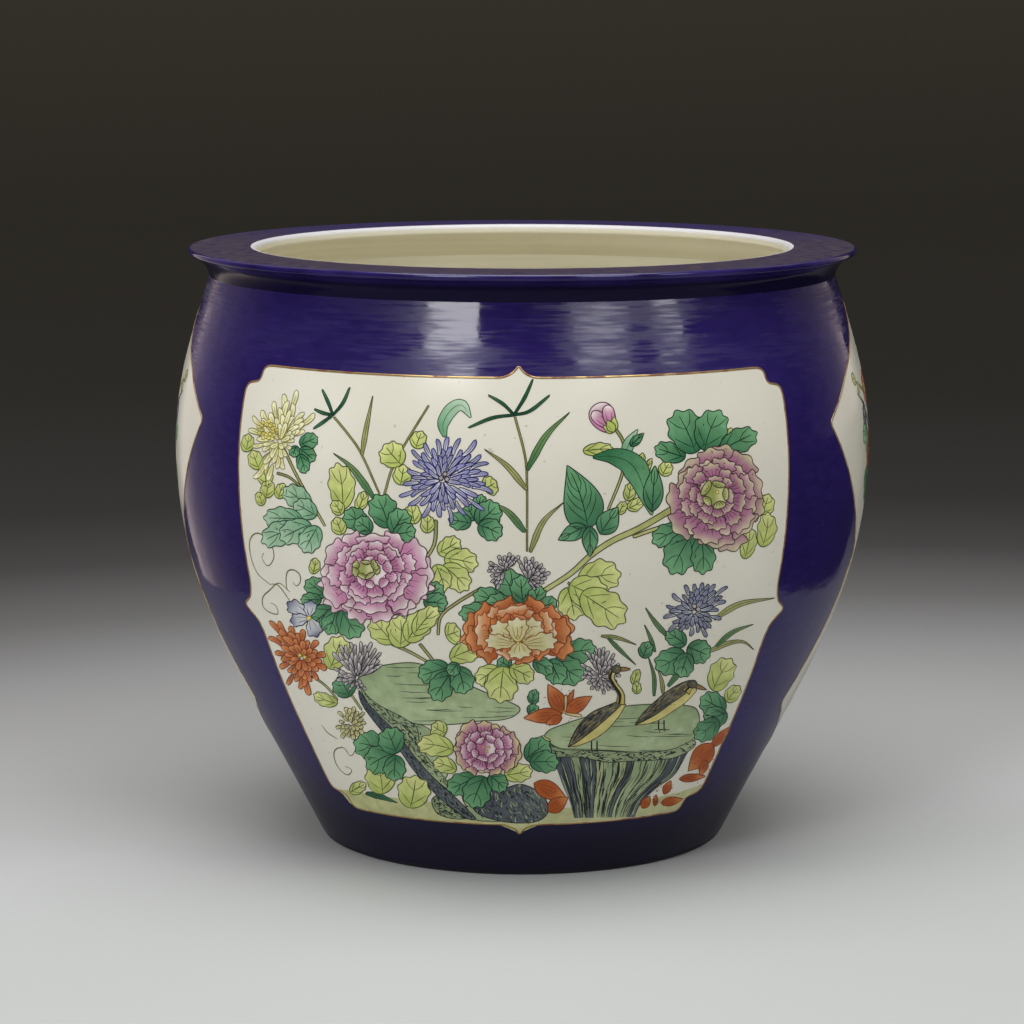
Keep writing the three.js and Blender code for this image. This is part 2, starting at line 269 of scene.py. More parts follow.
def new_object(name, vertices, faces, material, normals=None, colours=None):
    """An object from millimetre points. Normals go by face corner, with zero for a flat face."""
    mesh = bpy.data.meshes.new(name)
    mesh.from_pydata((np.asarray(vertices) * MM).tolist(), [], faces)
    mesh.materials.append(material)
    mesh.polygons.foreach_set("use_smooth", [True] * len(mesh.polygons))
    if colours is not None:
        layer = mesh.attributes.new("enamel", "FLOAT_COLOR", "POINT")
        rgba = np.column_stack([colours, np.ones(len(colours))])
        layer.data.foreach_set("color", rgba.astype(np.float32).ravel())
    if normals is not None:
        mesh.normals_split_custom_set(normals)
    piece = bpy.data.objects.new(name, mesh)
    bpy.context.scene.collection.objects.link(piece)
    return piece


def stands_for(piece, node):
    """A piece that rides on the bowl and takes the place of its plain node."""
    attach(piece, "root")
    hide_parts(node)


def lathe(name, profile, material):
    """A closed solid turned from a profile, closed on itself or on the axis."""
    rings, vertices, faces = [], [], []
    angle = np.linspace(0, 2 * math.pi, AROUND_STEPS, endpoint=False)
    for radius, height in profile:
        first = len(vertices)
        if radius < AXIS_TOLERANCE:
            vertices.append((0, 0, height))
            rings.append([first] * AROUND_STEPS)
        else:
            vertices.extend(zip(radius * np.sin(angle), -radius * np.cos(angle), [height] * AROUND_STEPS))
            rings.append(list(range(first, first + AROUND_STEPS)))
    on_axis = max(profile[0][0], profile[-1][0]) < AXIS_TOLERANCE
    pairs = list(zip(rings, rings[1:])) + ([] if on_axis else [(rings[-1], rings[0])])
    for low, high in pairs:
        for i in range(AROUND_STEPS):
            k = (i + 1) % AROUND_STEPS
            corners = [low[i], low[k], high[k], high[i]]
            faces.append(list(dict.fromkeys(corners)))
    piece = new_object(name, vertices, faces, material)
    piece.data.set_sharp_from_angle(angle=math.radians(SMOOTH_DEGREES))
    return piece


# Outlines of the reserves, in degrees and millimetres

def arc_degrees(length, height):
    return math.degrees(length / radius_at(height))


def pointed_edge(height, direction):
    return [
        (FRONT_POINT_ANGLE, height + direction * FRONT_POINT_RISE),
        (
            FRONT_POINT_ANGLE + arc_degrees(FRONT_POINT_HALF_WIDTH * POINT_WAIST_SHARES[0], height),
            height + direction * FRONT_POINT_RISE * POINT_WAIST_SHARES[1],
        ),
        (FRONT_POINT_ANGLE + arc_degrees(FRONT_POINT_HALF_WIDTH, height), height),
    ]


def stepped_corner(height, direction):
    return [(
        FRONT_HALF_ANGLE - arc_degrees(FRONT_CORNER_WIDTH * inward, height),
        height + direction * FRONT_CORNER_DROP * upward,
    ) for inward, upward in CORNER_SHARES]


def cusp_points(height):
    return [(
        FRONT_HALF_ANGLE + arc_degrees(FRONT_CUSP_REACH * outward, height),
        height + FRONT_CUSP_HALF_HEIGHT * upward,
    ) for outward, upward in CUSP_SHARES]


def stepped_outline():
    top = NECK_HEIGHT - FRONT_TOP_DROP
    bottom = FRONT_BOTTOM_HEIGHT
    right = [
        *pointed_edge(bottom, -1),
        *stepped_corner(bottom, 1),
        *cusp_points(lerp(bottom, top, FRONT_CUSP_SHARE)),
        *stepped_corner(top, -1)[::-1],
        *pointed_edge(top, 1)[::-1],
    ]
    half = FRONT_HALF_ANGLE - FRONT_POINT_ANGLE
    left = [(
        lerp(FRONT_POINT_ANGLE, -FRONT_HALF_ANGLE, (angle - FRONT_POINT_ANGLE) / half),
        height,
    ) for angle, height in right[1:-1][::-1]]
    return right + left


def lozenge_outline():
    top = NECK_HEIGHT - SIDE_TOP_DROP
    tip, waist, lower_tip = (
        lerp(SIDE_BOTTOM_HEIGHT, top, share)
        for share in (SIDE_UPPER_TIP_SHARE, SIDE_WAIST_SHARE, SIDE_LOWER_TIP_SHARE)
    )
    right = [
        (0, SIDE_BOTTOM_HEIGHT),
        (SIDE_LOWER_HALF_ANGLE, lower_tip),
        (SIDE_WAIST_HALF_ANGLE, waist),
        (SIDE_HALF_ANGLE, tip),
        (SIDE_HALF_ANGLE * SIDE_SHOULDER_ANGLE_SHARE, lerp(tip, top, SIDE_SHOULDER_RISE_SHARE)),
        (0, top),
    ]
    return right + [(-angle, height) for angle, height in right[1:-1][::-1]]


def softened(outline, facing):
    """An outline in short steps, with its corners a little rounded, turned to its side of the bowl."""
    flat = np.array(outline, float) * (DEGREE_LENGTH, 1)
    loop = np.vstack([flat, flat[:1]])
    run = np.concatenate([[0], np.cumsum(np.linalg.norm(np.diff(loop, axis=0), axis=1))])
    count = int(run[-1] / OUTLINE_STEP)
    at = np.linspace(0, run[-1], count, endpoint=False)
    offsets = np.linspace(-1, 1, SOFTENING_SPOTS) * OUTLINE_SOFTENING
    spots = sum(
        np.column_stack([np.interp((at + move) % run[-1], run, loop[:, axis]) for axis in (0, 1)])
        for move in offsets
    ) / len(offsets)
    return np.column_stack([spots[:, 0] / DEGREE_LENGTH + facing, spots[:, 1]])


# Glazed fields of the body

def inside(spots, outline):
    """Which points lie inside a closed outline."""
    x, y = spots[:, 0, None], spots[:, 1, None]
    a, b = outline, np.roll(outline, -1, axis=0)
    crosses = (a[:, 1] > y) != (b[:, 1] > y)
    with np.errstate(divide="ignore", invalid="ignore"):
        at = a[:, 0] + (y - a[:, 1]) * (b[:, 0] - a[:, 0]) / (b[:, 1] - a[:, 1])
    return (crosses & (x < at)).sum(axis=1) % 2 == 1


def body_fields(outlines):
    """The body's skin in triangles, each with the number of the outline that holds it, or -1."""
    columns = np.linspace(SEAM_ANGLE - 360, SEAM_ANGLE, AROUND_STEPS + 1)
    runs = np.linspace(0, skin_run[-1], GLAZE_ROWS + 1)
    rows = np.interp(runs, skin_run, body_skin[:, 1])
    grid = np.array([(angle, height) for height in rows for angle in columns])
    spots, edges = [grid], []
    count = len(grid)
    for outline in outlines:
        size = len(outline)
        spots.append(outline)
        edges += [(count + i, count + (i + 1) % size) for i in range(size)]
        count += size
    flat = np.vstack(spots)
    coordinates = [Vector(spot) for spot in (flat * (DEGREE_LENGTH, 1)).tolist()]
    points, _, faces, *_ = delaunay_2d_cdt(coordinates, edges, [], 0, FIELD_TOLERANCE)
    points = np.array([tuple(spot) for spot in points]) / (DEGREE_LENGTH, 1)
    faces = np.array(faces)
    field = np.full(len(faces), -1)
    for i, outline in enumerate(outlines):
        field[inside(points[faces].mean(axis=1), outline)] = i
    return points, faces, field


def open_edges(faces, count):
    """The edges of triangles that only one triangle has, in its direction."""
    directed = np.vstack([faces[:, [0, 1]], faces[:, [1, 2]], faces[:, [2, 0]]])
    return directed[~np.isin(directed @ (count, 1), directed @ (1, count))]


def shell(name, points, faces, material):
    """A closed layer of glaze over some triangles of the skin."""
    used, faces = np.unique(faces, return_inverse=True)
    faces = faces.reshape(-1, 3)
    angle, height = np.radians(points[used, 0]), points[used, 1]
    outer, normal = on_skin(angle, height)
    key = np.round(outer, 3)
    _, first, same = np.unique(key, axis=0, return_index=True, return_inverse=True)
    faces = same.reshape(-1)[faces]
    outer, normal = outer[first], normal[first]
    inner = outer - normal * GLAZE_THICKNESS
    count = len(outer)
    walls = [[b, a, a + count, b + count] for a, b in sorted(open_edges(faces, count).tolist())]
    back = (faces[:, ::-1] + count).tolist()
    corner_normals = np.vstack([normal[faces.ravel()], -normal[faces[:, ::-1].ravel()]])
    flat = np.zeros((4 * len(walls), 3))
    normals = np.vstack([corner_normals, flat]).tolist()
    vertices = np.vstack([outer, inner])
    return new_object(name, vertices, faces.tolist() + back + walls, material, normals)


# Materials

def srgb(red, green, blue):
    """Linear colour from the 0 to 255 values that it shows as."""
    value = np.array([red, green, blue]) / 255
    linear = np.where(value <= 0.04045, value / 12.92, ((value + 0.055) / 1.055) ** 2.4)
    return (*linear.tolist(), 1.0)


class Finish:
    """A Principled material and a few helpers to wire its nodes."""

    def __init__(self, name, colour, roughness, **sockets):
        self.material = bpy.data.materials.new(name)
        self.material.use_nodes = True
        self.tree = self.material.node_tree
        self.shader = self.tree.nodes["Principled BSDF"]
        self.shader.inputs["Base Color"].default_value = srgb(*colour)
        self.shader.inputs["Roughness"].default_value = roughness
        for socket, value in sockets.items():
            self.shader.inputs[socket.replace("_", " ")].default_value = value

    def add(self, kind, **settings):
        node = self.tree.nodes.new(kind)
        for key, value in settings.items():
            setattr(node, key, value)
        return node

    def link(self, source, target):
        self.tree.links.new(source, target)

    def place(self, stretch=(1, 1, 1)):
        """Object coordinates in metres, stretched."""
        coordinates = self.add("ShaderNodeTexCoord")
        mapping = self.add("ShaderNodeMapping")
        mapping.inputs["Scale"].default_value = stretch
        self.link(coordinates.outputs["Object"], mapping.inputs["Vector"])
        return mapping.outputs["Vector"]

    def noise(self, scale, detail, stretch=(1, 1, 1)):
        node = self.add("ShaderNodeTexNoise")
        node.inputs["Scale"].default_value = scale
        node.inputs["Detail"].default_value = detail
        self.link(self.place(stretch), node.inputs["Vector"])
        return node.outputs["Fac"]

    def ramp(self, value, *stops):
        """Colours or greys by a value, as (position, colour) stops."""
        node = self.add("ShaderNodeValToRGB")
        elements = node.color_ramp.elements
        while len(elements) < len(stops):
            elements.new(1.0)
        for element, (position, colour) in zip(elements, stops):
            element.position = position
            element.color = srgb(*colour) if isinstance(colour, tuple) else (colour,) * 3 + (1,)
        self.link(value, node.inputs["Fac"])
        return node.outputs["Color"]

    def cloud(self, grain, low, high, stops=(0.3, 0.7)):
        """Two colours or greys that drift into each other."""
        return self.ramp(self.noise(*grain), (stops[0], low), (stops[1], high))

    def mix(self, share, low, high, blend="MIX"):
        node = self.add("ShaderNodeMix", data_type="RGBA", blend_type=blend)
        for socket, value in (("Factor", share), ("A", low), ("B", high)):
            target = next(s for s in node.inputs if s.name == socket and s.enabled)
            if isinstance(value, tuple):
                target.default_value = srgb(*value)
            elif isinstance(value, float):
                target.default_value = value
            else:
                self.link(value, target)
        return next(s for s in node.outputs if s.enabled)

    def height(self, low, high, axis="Z"):
        """0 below one height of the bowl and 1 above another, in millimetres, or so along another axis."""
        split = self.add("ShaderNodeSeparateXYZ")
        self.link(self.place(), split.inputs["Vector"])
        return self.span(split.outputs[axis], low, high)

    def radius(self, low, high):
        """0 nearer to the axis than one radius and 1 beyond another, in millimetres."""
        length = self.add("ShaderNodeVectorMath", operation="LENGTH")
        self.link(self.place((1, 1, 0)), length.inputs[0])
        return self.span(length.outputs["Value"], low, high)

    def span(self, value, low, high):
        """0 where a value is low and 1 where it is high, in millimetres."""
        node = self.add("ShaderNodeMapRange")
        node.inputs["From Min"].default_value = low * MM
        node.inputs["From Max"].default_value = high * MM
        self.link(value, node.inputs["Value"])
        return node.outputs["Result"]

    def colour(self, value):
        self.link(value, self.shader.inputs["Base Color"])

    def roughness(self, value):
        self.link(value, self.shader.inputs["Roughness"])

    def bump(self, *layers):
        """Bumps from several values, each with its depth in millimetres."""
        normal = None
        for value, depth in layers:
            node = self.add("ShaderNodeBump")
            node.inputs["Distance"].default_value = depth * MM
            self.link(value, node.inputs["Height"])
            if normal is not None:
                self.link(normal, node.inputs["Normal"])
            normal = node.outputs["Normal"]
        self.link(normal, self.shader.inputs["Normal"])


# Fired glaze and clay, with tones from 0 to 255
GLAZE_IOR = 1.5
CLAY_LOW = (196, 184, 160)
CLAY_HIGH = (222, 212, 192)
BLUE = (36, 26, 82)
BLUE_DEPTHS = ((32, 23, 78), (45, 33, 98))
BLUE_FLECK_TONES = ((16, 11, 42), (62, 48, 110))
SHADED_FOOT_BLUE = (20, 17, 40)
RUN_BLUE = (26, 20, 38)
RIM_BLUE = (36, 27, 84)
RIM_STREAKS = ((27, 19, 70), (44, 33, 96))
RIM_SHADE_BLUE = (19, 14, 44)
RIM_WORN = ((46, 37, 74), (66, 56, 64))
RIM_FAR_BLUE = (44, 34, 80)
CREAM_GLAZE = (224, 220, 200)
CREAM_CLOUDS = ((220, 215, 192), (236, 232, 212))
CREAM_RINGS = ((206, 199, 172), (242, 239, 222))
INNER_LIP_WHITE = (208, 206, 210)
RESERVE_WHITE = (224, 221, 208)
RESERVE_CLOUDS = ((219, 215, 199), (226, 223, 209))
RESERVE_SPECKS = (150, 140, 118)
GILT = (190, 150, 84)
GILT_WEAR = ((208, 176, 118), (134, 86, 54))
SLIP_TONES = ((214, 206, 188), (232, 226, 212))
ENAMEL = (160, 160, 130)
ENAMEL_WASH = ((222, 222, 216), (255, 255, 255))

# Heights between which the blue changes, with painted shade near the foot and under the lip, and the span
# along Y from the bowl's middle over which the rim's flat top turns bluer towards the back
FOOT_SHADE_HEIGHTS = (25, 90)
SHOULDER_RUBBING = (285, 335)
RIM_SHADE_HEIGHTS = (NECK_HEIGHT + 0.5 * RIM_HEIGHT, NECK_HEIGHT + 0.7 * RIM_HEIGHT)
RIM_FLAT = (TOTAL_HEIGHT - 0.4, TOTAL_HEIGHT - 0.05)
RIM_BACK_SPAN = (20, 150)
INNER_LIP_EDGE = (TOTAL_HEIGHT - 0.5 * INNER_LIP_DEPTH, TOTAL_HEIGHT - 0.2 * INNER_LIP_DEPTH)

# Width over which the foot's edge turns blue
RUN_EDGE_WIDTH = 1

# Grains of the finishes: scale, detail and, where they are drawn out, stretch along the axes
BLUE_DRIFT = (7, 4)
BLUE_FLECKS = (90, 2, (1, 1, 2.5))
BLUE_STROKES = (150, 3, (0.25, 0.25, 4))
BLUE_RUBBING = (12, 3, (1, 1, 3))
BLUE_WAVES = (9, 1, (1, 1, 0.5))
BLUE_DIMPLES = (44, 2, (1, 1, 1.6))
RIM_RUNS = (30, 4)
RIM_SCUFFS = (120, 7, (1, 2, 1))
RIM_DIMPLES = (40, 3)
RIM_PITS = (300, 4)
THROWING_RINGS = (9, 3, (0.3, 0.3, 14))
CREAM_DRIFT = (6, 4)
WHITE_DRIFT = (10, 4)
WHITE_SPECKS = (240, 1)
WHITE_PATCHES = (25, 2)
WHITE_PITS = (120, 2)
FIELD_WAVES = (14, 1)
GILT_RUBBING = (95, 4)
GILT_PITS = (400, 2)
CLAY_DRIFT = (40, 6)
CLAY_PITS = (300, 4)
ENAMEL_DRIFT = (120, 3)
ENAMEL_PATCHES = (60, 2)
ENAMEL_PITS = (260, 2)

# Stops between which a grain turns from one tone to the other
EARLY_STOPS = (0.35, 0.7)
SCUFF_STOPS = (0.3, 0.62)
SPECK_STOPS = (0.74, 0.8)
GILT_STOPS = (0.46, 0.6)
RUN_STOPS = (0.3, 0.7)

# Roughness, shine and metal as stops and values, and the ends of an uneven roughness
BLUE_RUBBED = ((0.4, 0.07), (0.6, 0.4))
BLUE_BRIGHT = ((0.4, 0.06), (0.6, 0.16))
RIM_GLOSS = ((0.3, 0.1), (0.75, 0.22))
RIM_DULL = ((0.0, 0.3), (1.0, 0.52))
RIM_SHINE = ((0.0, 0.12), (1.0, 0.5))
GILT_METAL = ((0.0, 0.8), (1.0, 0.1))
FOOT_GLOSS = ((0.0, 0.8), (1.0, 0.35))
WHITE_GLOSS = (0.12, 0.24)
ENAMEL_GLOSS = (0.16, 0.3)

# Shares of one tone or grain in another
FLECK_SHARE = 0.14
STROKE_SHARE = 0.4
RING_SHARE = 0.4
SPECK_STRENGTH = 0.35

# Depths of the bumps, in millimetres
BLUE_WAVE_DEPTH = 1.2
BLUE_DIMPLE_DEPTH = 0.3
BLUE_STROKE_DEPTH = 0.008
RIM_DIMPLE_DEPTH = 0.25
RIM_PIT_DEPTH = 0.03
RING_DEPTH = 0.5
FIELD_WAVE_DEPTH = 0.7
WHITE_PIT_DEPTH = 0.015
GILT_PIT_DEPTH = 0.02
CLAY_PIT_DEPTH = 0.12
ENAMEL_PIT_DEPTH = 0.02


def cobalt_finish(name):
    """Deep blue, rubbed in level strokes, with painted shade that darkens it near the foot."""
    finish = Finish(name, BLUE, roughness=0.1, IOR=GLAZE_IOR)
    depth = finish.cloud(BLUE_DRIFT, *BLUE_DEPTHS)
    flecks = finish.cloud(BLUE_FLECKS, *BLUE_FLECK_TONES, EARLY_STOPS)
    # Painted shade: the blue turns darker towards the foot
    blue = finish.mix(finish.height(*FOOT_SHADE_HEIGHTS), SHADED_FOOT_BLUE, finish.mix(FLECK_SHARE, depth, flecks))
    finish.colour(blue)
    strokes = finish.noise(*BLUE_STROKES)
    rubbing = finish.mix(STROKE_SHARE, finish.noise(*BLUE_RUBBING), strokes)
    rubbed = finish.ramp(rubbing, *BLUE_RUBBED)
    bright = finish.ramp(rubbing, *BLUE_BRIGHT)
    finish.roughness(finish.mix(finish.height(*SHOULDER_RUBBING), bright, rubbed))
    waves = finish.noise(*BLUE_WAVES)
    dimples = finish.noise(*BLUE_DIMPLES)
    finish.bump((waves, BLUE_WAVE_DEPTH), (dimples, BLUE_DIMPLE_DEPTH), (strokes, BLUE_STROKE_DEPTH))
    return finish.material


def rim_finish():
    """Blue with streaks, painted shade in the hollow under the lip, and rubbed dull on the flat top, which
    turns bluer towards the back.
    """
    finish = Finish("cobalt_rim", RIM_BLUE, roughness=0.14, IOR=GLAZE_IOR)
    streaks = finish.noise(*RIM_RUNS)
    worn = finish.cloud(RIM_SCUFFS, 0.0, 1.0, SCUFF_STOPS)
    # Painted shade: the hollow under the lip is a darker blue
    shaded_hollow = finish.height(*RIM_SHADE_HEIGHTS)
    blue = finish.ramp(streaks, *zip(RUN_STOPS, RIM_STREAKS))
    flat = finish.height(*RIM_FLAT)
    # The flat top turns from its scuffed tones to a bluer tone towards the back, along Y
    flat_top_blue = finish.mix(finish.height(*RIM_BACK_SPAN, "Y"), finish.mix(worn, *RIM_WORN), RIM_FAR_BLUE)
    finish.colour(finish.mix(flat, finish.mix(shaded_hollow, RIM_SHADE_BLUE, blue), flat_top_blue))
    finish.link(finish.ramp(shaded_hollow, *RIM_SHINE), finish.shader.inputs["Specular IOR Level"])
    gloss = finish.ramp(streaks, *RIM_GLOSS)
    dull = finish.ramp(worn, *RIM_DULL)
    finish.roughness(finish.mix(flat, gloss, dull))
    finish.bump((finish.noise(*RIM_DIMPLES), RIM_DIMPLE_DEPTH), (finish.noise(*RIM_PITS), RIM_PIT_DEPTH))
    return finish.material


def inner_finish():
    """Cream over throwing rings, whiter at the inner lip."""
    finish = Finish("clear_interior", CREAM_GLAZE, roughness=0.42, IOR=GLAZE_IOR)
    rings = finish.noise(*THROWING_RINGS)
    cream = finish.cloud(CREAM_DRIFT, *CREAM_CLOUDS)
    ringed = finish.mix(RING_SHARE, cream, finish.ramp(rings, *zip(EARLY_STOPS, CREAM_RINGS)))
    edge = finish.height(*INNER_LIP_EDGE)
    finish.colour(finish.mix(edge, ringed, INNER_LIP_WHITE))
    finish.bump((rings, RING_DEPTH))
    return finish.material


def reserve_finish():
    """Clear glaze over white clay, with a few small specks."""
    finish = Finish("reserve_white", RESERVE_WHITE, roughness=0.16, IOR=GLAZE_IOR)
    specks = finish.cloud(WHITE_SPECKS, 0.0, SPECK_STRENGTH, SPECK_STOPS)
    finish.colour(finish.mix(specks, finish.cloud(WHITE_DRIFT, *RESERVE_CLOUDS), RESERVE_SPECKS))
    finish.roughness(finish.cloud(WHITE_PATCHES, *WHITE_GLOSS))
    waves, pits = finish.noise(*FIELD_WAVES), finish.noise(*WHITE_PITS)
    finish.bump((waves, FIELD_WAVE_DEPTH), (pits, WHITE_PIT_DEPTH))
    return finish.material


def gilding_finish():
    """Gold that is worn through to its brown ground in places."""
    finish = Finish("worn_gilding", GILT, roughness=0.3)
    wear = finish.cloud(GILT_RUBBING, 0.0, 1.0, GILT_STOPS)
    finish.colour(finish.mix(wear, *GILT_WEAR))
    finish.link(finish.ramp(wear, *GILT_METAL), finish.shader.inputs["Metallic"])
    finish.bump((finish.noise(*GILT_PITS), GILT_PIT_DEPTH))
    return finish.material


def bare_clay(name, low, high):
    """The finish of unglazed clay, and its cloudy colour."""
    finish = Finish(name, high, roughness=0.8)
    cloud = finish.cloud(CLAY_DRIFT, low, high, EARLY_STOPS)
    finish.bump((finish.noise(*CLAY_PITS), CLAY_PIT_DEPTH))
    return finish, cloud


def biscuit_finish(name, low, high):
    """Unglazed clay or dry slip inside the walls."""
    finish, cloud = bare_clay(name, low, high)
    finish.colour(cloud)
    return finish.material


def foot_finish():
    """Bare clay under the bowl, with blue that has run round the foot's outer edge."""
    finish, cloud = bare_clay("foot_biscuit", CLAY_LOW, CLAY_HIGH)
    edge = FOOT_RADIUS - FOOT_EDGE_ROUND
    run = finish.radius(edge - RUN_EDGE_WIDTH, edge)
    finish.colour(finish.mix(run, cloud, RUN_BLUE))
    finish.roughness(finish.ramp(run, *FOOT_GLOSS))
    return finish.material


# The bowl's solid pieces

clay_skin = offset_path(skin, GLAZE_THICKNESS)
clay_outside = clay_skin[:NECK_INDEX + 1]
clay_within = clay_skin[EDGE_INDEX + 1:-1][::-1]
rising_within = clay_within[np.concatenate([[True], np.diff(clay_within[:, 1]) > 0])]


def wall_section(low, high):
    outside, within = (slice_by_height(path, low, high) for path in (clay_outside, rising_within))
    return np.vstack([outside, within[::-1]])


def foot_profile(joint_height):
    ring_outer = clay_skin[0, 0] - FOOT_EDGE_ROUND
    ring_inner = ring_outer - FOOT_RING_WIDTH
    edge = arc((ring_outer, FOOT_EDGE_ROUND), FOOT_EDGE_ROUND, -90, 0)
    underside = [
        (0, FOOT_RECESS),
        (ring_inner - FOOT_RECESS, FOOT_RECESS),
        (ring_inner - FOOT_RING_BEVEL, FOOT_RING_BEVEL_RISE),
        (ring_inner, 0),
    ]
    outside = slice_by_height(clay_outside, clay_skin[0, 1], joint_height)
    top = (np.interp(joint_height, rising_within[:, 1], rising_within[:, 0]), joint_height)
    floor = clay_within[clay_within[:, 1] < joint_height][::-1]
    axis = (0, FLOOR_HEIGHT - GLAZE_THICKNESS)
    return np.vstack([underside, edge, outside[1:], [top], floor, [axis]])


def flange_profile(low):
    outer, inner = clay_skin[:EDGE_INDEX + 1], clay_skin[EDGE_INDEX + 1:]
    outer, inner = outer[outer[:, 1] > low], inner[inner[:, 1] > low]
    start = (np.interp(low, clay_outside[:, 1], clay_outside[:, 0]), low)
    return np.vstack([[start], outer, inner, [(inner[-1, 0], low)]])


def glaze_profile(first, last):
    return np.vstack([clay_skin[first:last + 1][::-1], skin[first:last + 1]])


def build_body():
    """Foot, walls, lutes and rim under the glaze, and the glazes that go all round."""
    biscuit = biscuit_finish("unglazed_body", CLAY_LOW, CLAY_HIGH)
    slip = biscuit_finish("dry_slip", *SLIP_TONES)
    floor_joint = FLOOR_HEIGHT + FLOOR_CORNER_RISE + FLOOR_JOINT_MARGIN
    belly_joint = BELLY_HEIGHT * BELLY_JOINT_SHARE
    neck_joint = NECK_HEIGHT - NECK_JOINT_DROP
    sections = [
        ("foot_and_floor", foot_profile(floor_joint), foot_finish(), "biscuit"),
        ("floor_lute", wall_section(floor_joint, floor_joint + LUTE_THICKNESS), slip, "slip"),
        ("lower_wall", wall_section(floor_joint + LUTE_THICKNESS, belly_joint), biscuit, "biscuit"),
        ("belly_lute", wall_section(belly_joint, belly_joint + LUTE_THICKNESS), slip, "slip"),
        ("upper_wall", wall_section(belly_joint + LUTE_THICKNESS, neck_joint), biscuit, "biscuit"),
        ("neck_lute", wall_section(neck_joint, neck_joint + LUTE_THICKNESS), slip, "slip"),
        ("rim_flange", flange_profile(neck_joint + LUTE_THICKNESS), biscuit, "biscuit"),
        ("blue_rim_glaze", glaze_profile(NECK_INDEX, EDGE_INDEX), rim_finish(), "cobalt_glaze"),
        ("inner_glaze", glaze_profile(EDGE_INDEX, len(skin) - 1), inner_finish(), "clear_glaze"),
    ]
    for node, profile, material, slot in sections:
        stands_for(lathe("smooth_" + node, profile, material), node)


def build_fields():
    """The blue ground with its four openings, and the white reserves in them."""
    stepped, lozenge = stepped_outline(), lozenge_outline()
    places = [
        ("front", stepped, 0), ("left", lozenge, -90), ("back", stepped, -180), ("right", lozenge, -270),
    ]
    outlines = [softened(outline, facing) for _, outline, facing in places]
    points, faces, field = body_fields(outlines)
    blue = shell("smooth_blue_body_glaze", points, faces[field == -1], cobalt_finish("cobalt_body"))
    stands_for(blue, "blue_body_glaze")
    white, gilt = reserve_finish(), gilding_finish()
    for i, (place, _, _) in enumerate(places):
        reserve = shell(f"smooth_{place}_reserve", points, faces[field == i], white)
        stands_for(reserve, f"{place}_reserve_glaze")
        line = ridge_loop(f"smooth_{place}_gilt_line", outlines[i], gilt)
        stands_for(line, f"{place}_gilt_line")


def ridge_loop(name, outline, material):
    """A low closed ridge that follows an outline."""
    angle, height = np.radians(outline[:, 0]), outline[:, 1]
    spots, normal = on_skin(angle, height)
    along = np.roll(spots, -1, axis=0) - np.roll(spots, 1, axis=0)
    side = np.cross(normal, along)
    side /= np.linalg.norm(side, axis=1)[:, None]
    rows = [spots + side * GILT_WIDTH * across + normal * GILT_HEIGHT * up for across, up in GILT_SECTION]
    vertices = np.stack(rows, axis=1).reshape(-1, 3)
    width, count = len(GILT_SECTION), len(outline)
    faces = []
    for i in range(count):
        for k in range(width):
            a, b = i * width + k, i * width + (k + 1) % width
            c, d = (i + 1) % count * width + (k + 1) % width, (i + 1) % count * width + k
            faces.append([a, d, c, b])
    return new_object(name, vertices, faces, material)


# Enamel painting

# A picture is drawn in the pixels of the front view, as complex numbers x + iy with y down, and cast from
# there onto the bowl. Each patch of enamel lies a little above what it covers.

ENAMEL_BASE = 0.06
ENAMEL_RISE = 0.014
ENAMEL_ROOT = 0.08
LINE_RISE = 0.002
LINE_CREST = 0.003
LINE_WIDTH = 0.7
PETAL_LINE = LINE_WIDTH * 0.85
VEIN_LINE = LINE_WIDTH * 0.8
FINE_LINE = LINE_WIDTH * 0.6
HAIR_LINE = LINE_WIDTH * 0.5
LEVEL_CELL = 4
PATCH_GRID = 5
PATCH_STEP = 2.2
PATCH_MARGIN = PATCH_STEP * 0.7
STROKE_STEP = 2.4
CAST_ROUNDS = 40
MAP_MARGIN = 0.005

chance = random.Random(11)


def ink(red, green, blue):
    return np.array(srgb(red, green, blue)[:3])


def tones(low, high, line):
    """Two colours of a wash, from base to tip, and the colour of its lines."""
    return ink(*low), ink(*high), ink(*line)


def cast(spots):
    """Angles round the bowl and heights, in radians and millimetres, of points of the picture."""
    orbit, pitch = math.radians(CAMERA_ORBIT), math.radians(CAMERA_PITCH)
    right = np.array([math.cos(orbit), math.sin(orbit), 0])
    level = np.array([-math.sin(orbit), math.cos(orbit), 0])
    ahead = level * math.cos(pitch) - np.array([0, 0, math.sin(pitch)])
    up = level * math.sin(pitch) + np.array([0, 0, math.cos(pitch)])
    eye = (right * CAMERA_SIDE - level * CAMERA_DISTANCE + np.array([0, 0, CAMERA_HEIGHT])) / MM
    middle = PICTURE_PIXELS / 2
    ray = (
        ahead * FOCAL_PIXELS
        + right * (spots.real[:, None] - middle)
        - up * (spots.imag[:, None] - middle)
    )
    near = np.zeros(len(spots))
    far = -(ray[:, :2] @ eye[:2]) / (ray[:, :2] ** 2).sum(axis=1)
    for _ in range(CAST_ROUNDS):
        halfway = (near + far) / 2
        place = eye + ray * halfway[:, None]
        outside = np.hypot(place[:, 0], place[:, 1]) > radius_at(place[:, 2])
        near, far = np.where(outside, halfway, near), np.where(outside, far, halfway)
    place = eye + ray * near[:, None]
    return np.arctan2(place[:, 0], -place[:, 1]), place[:, 2]


def evenly(spots, step):
    """An open path in even steps."""
    run = np.concatenate([[0], np.cumsum(np.abs(np.diff(spots)))])
    at = np.linspace(0, run[-1], max(int(run[-1] / step), 2) + 1)
    return np.interp(at, run, spots.real) + 1j * np.interp(at, run, spots.imag)


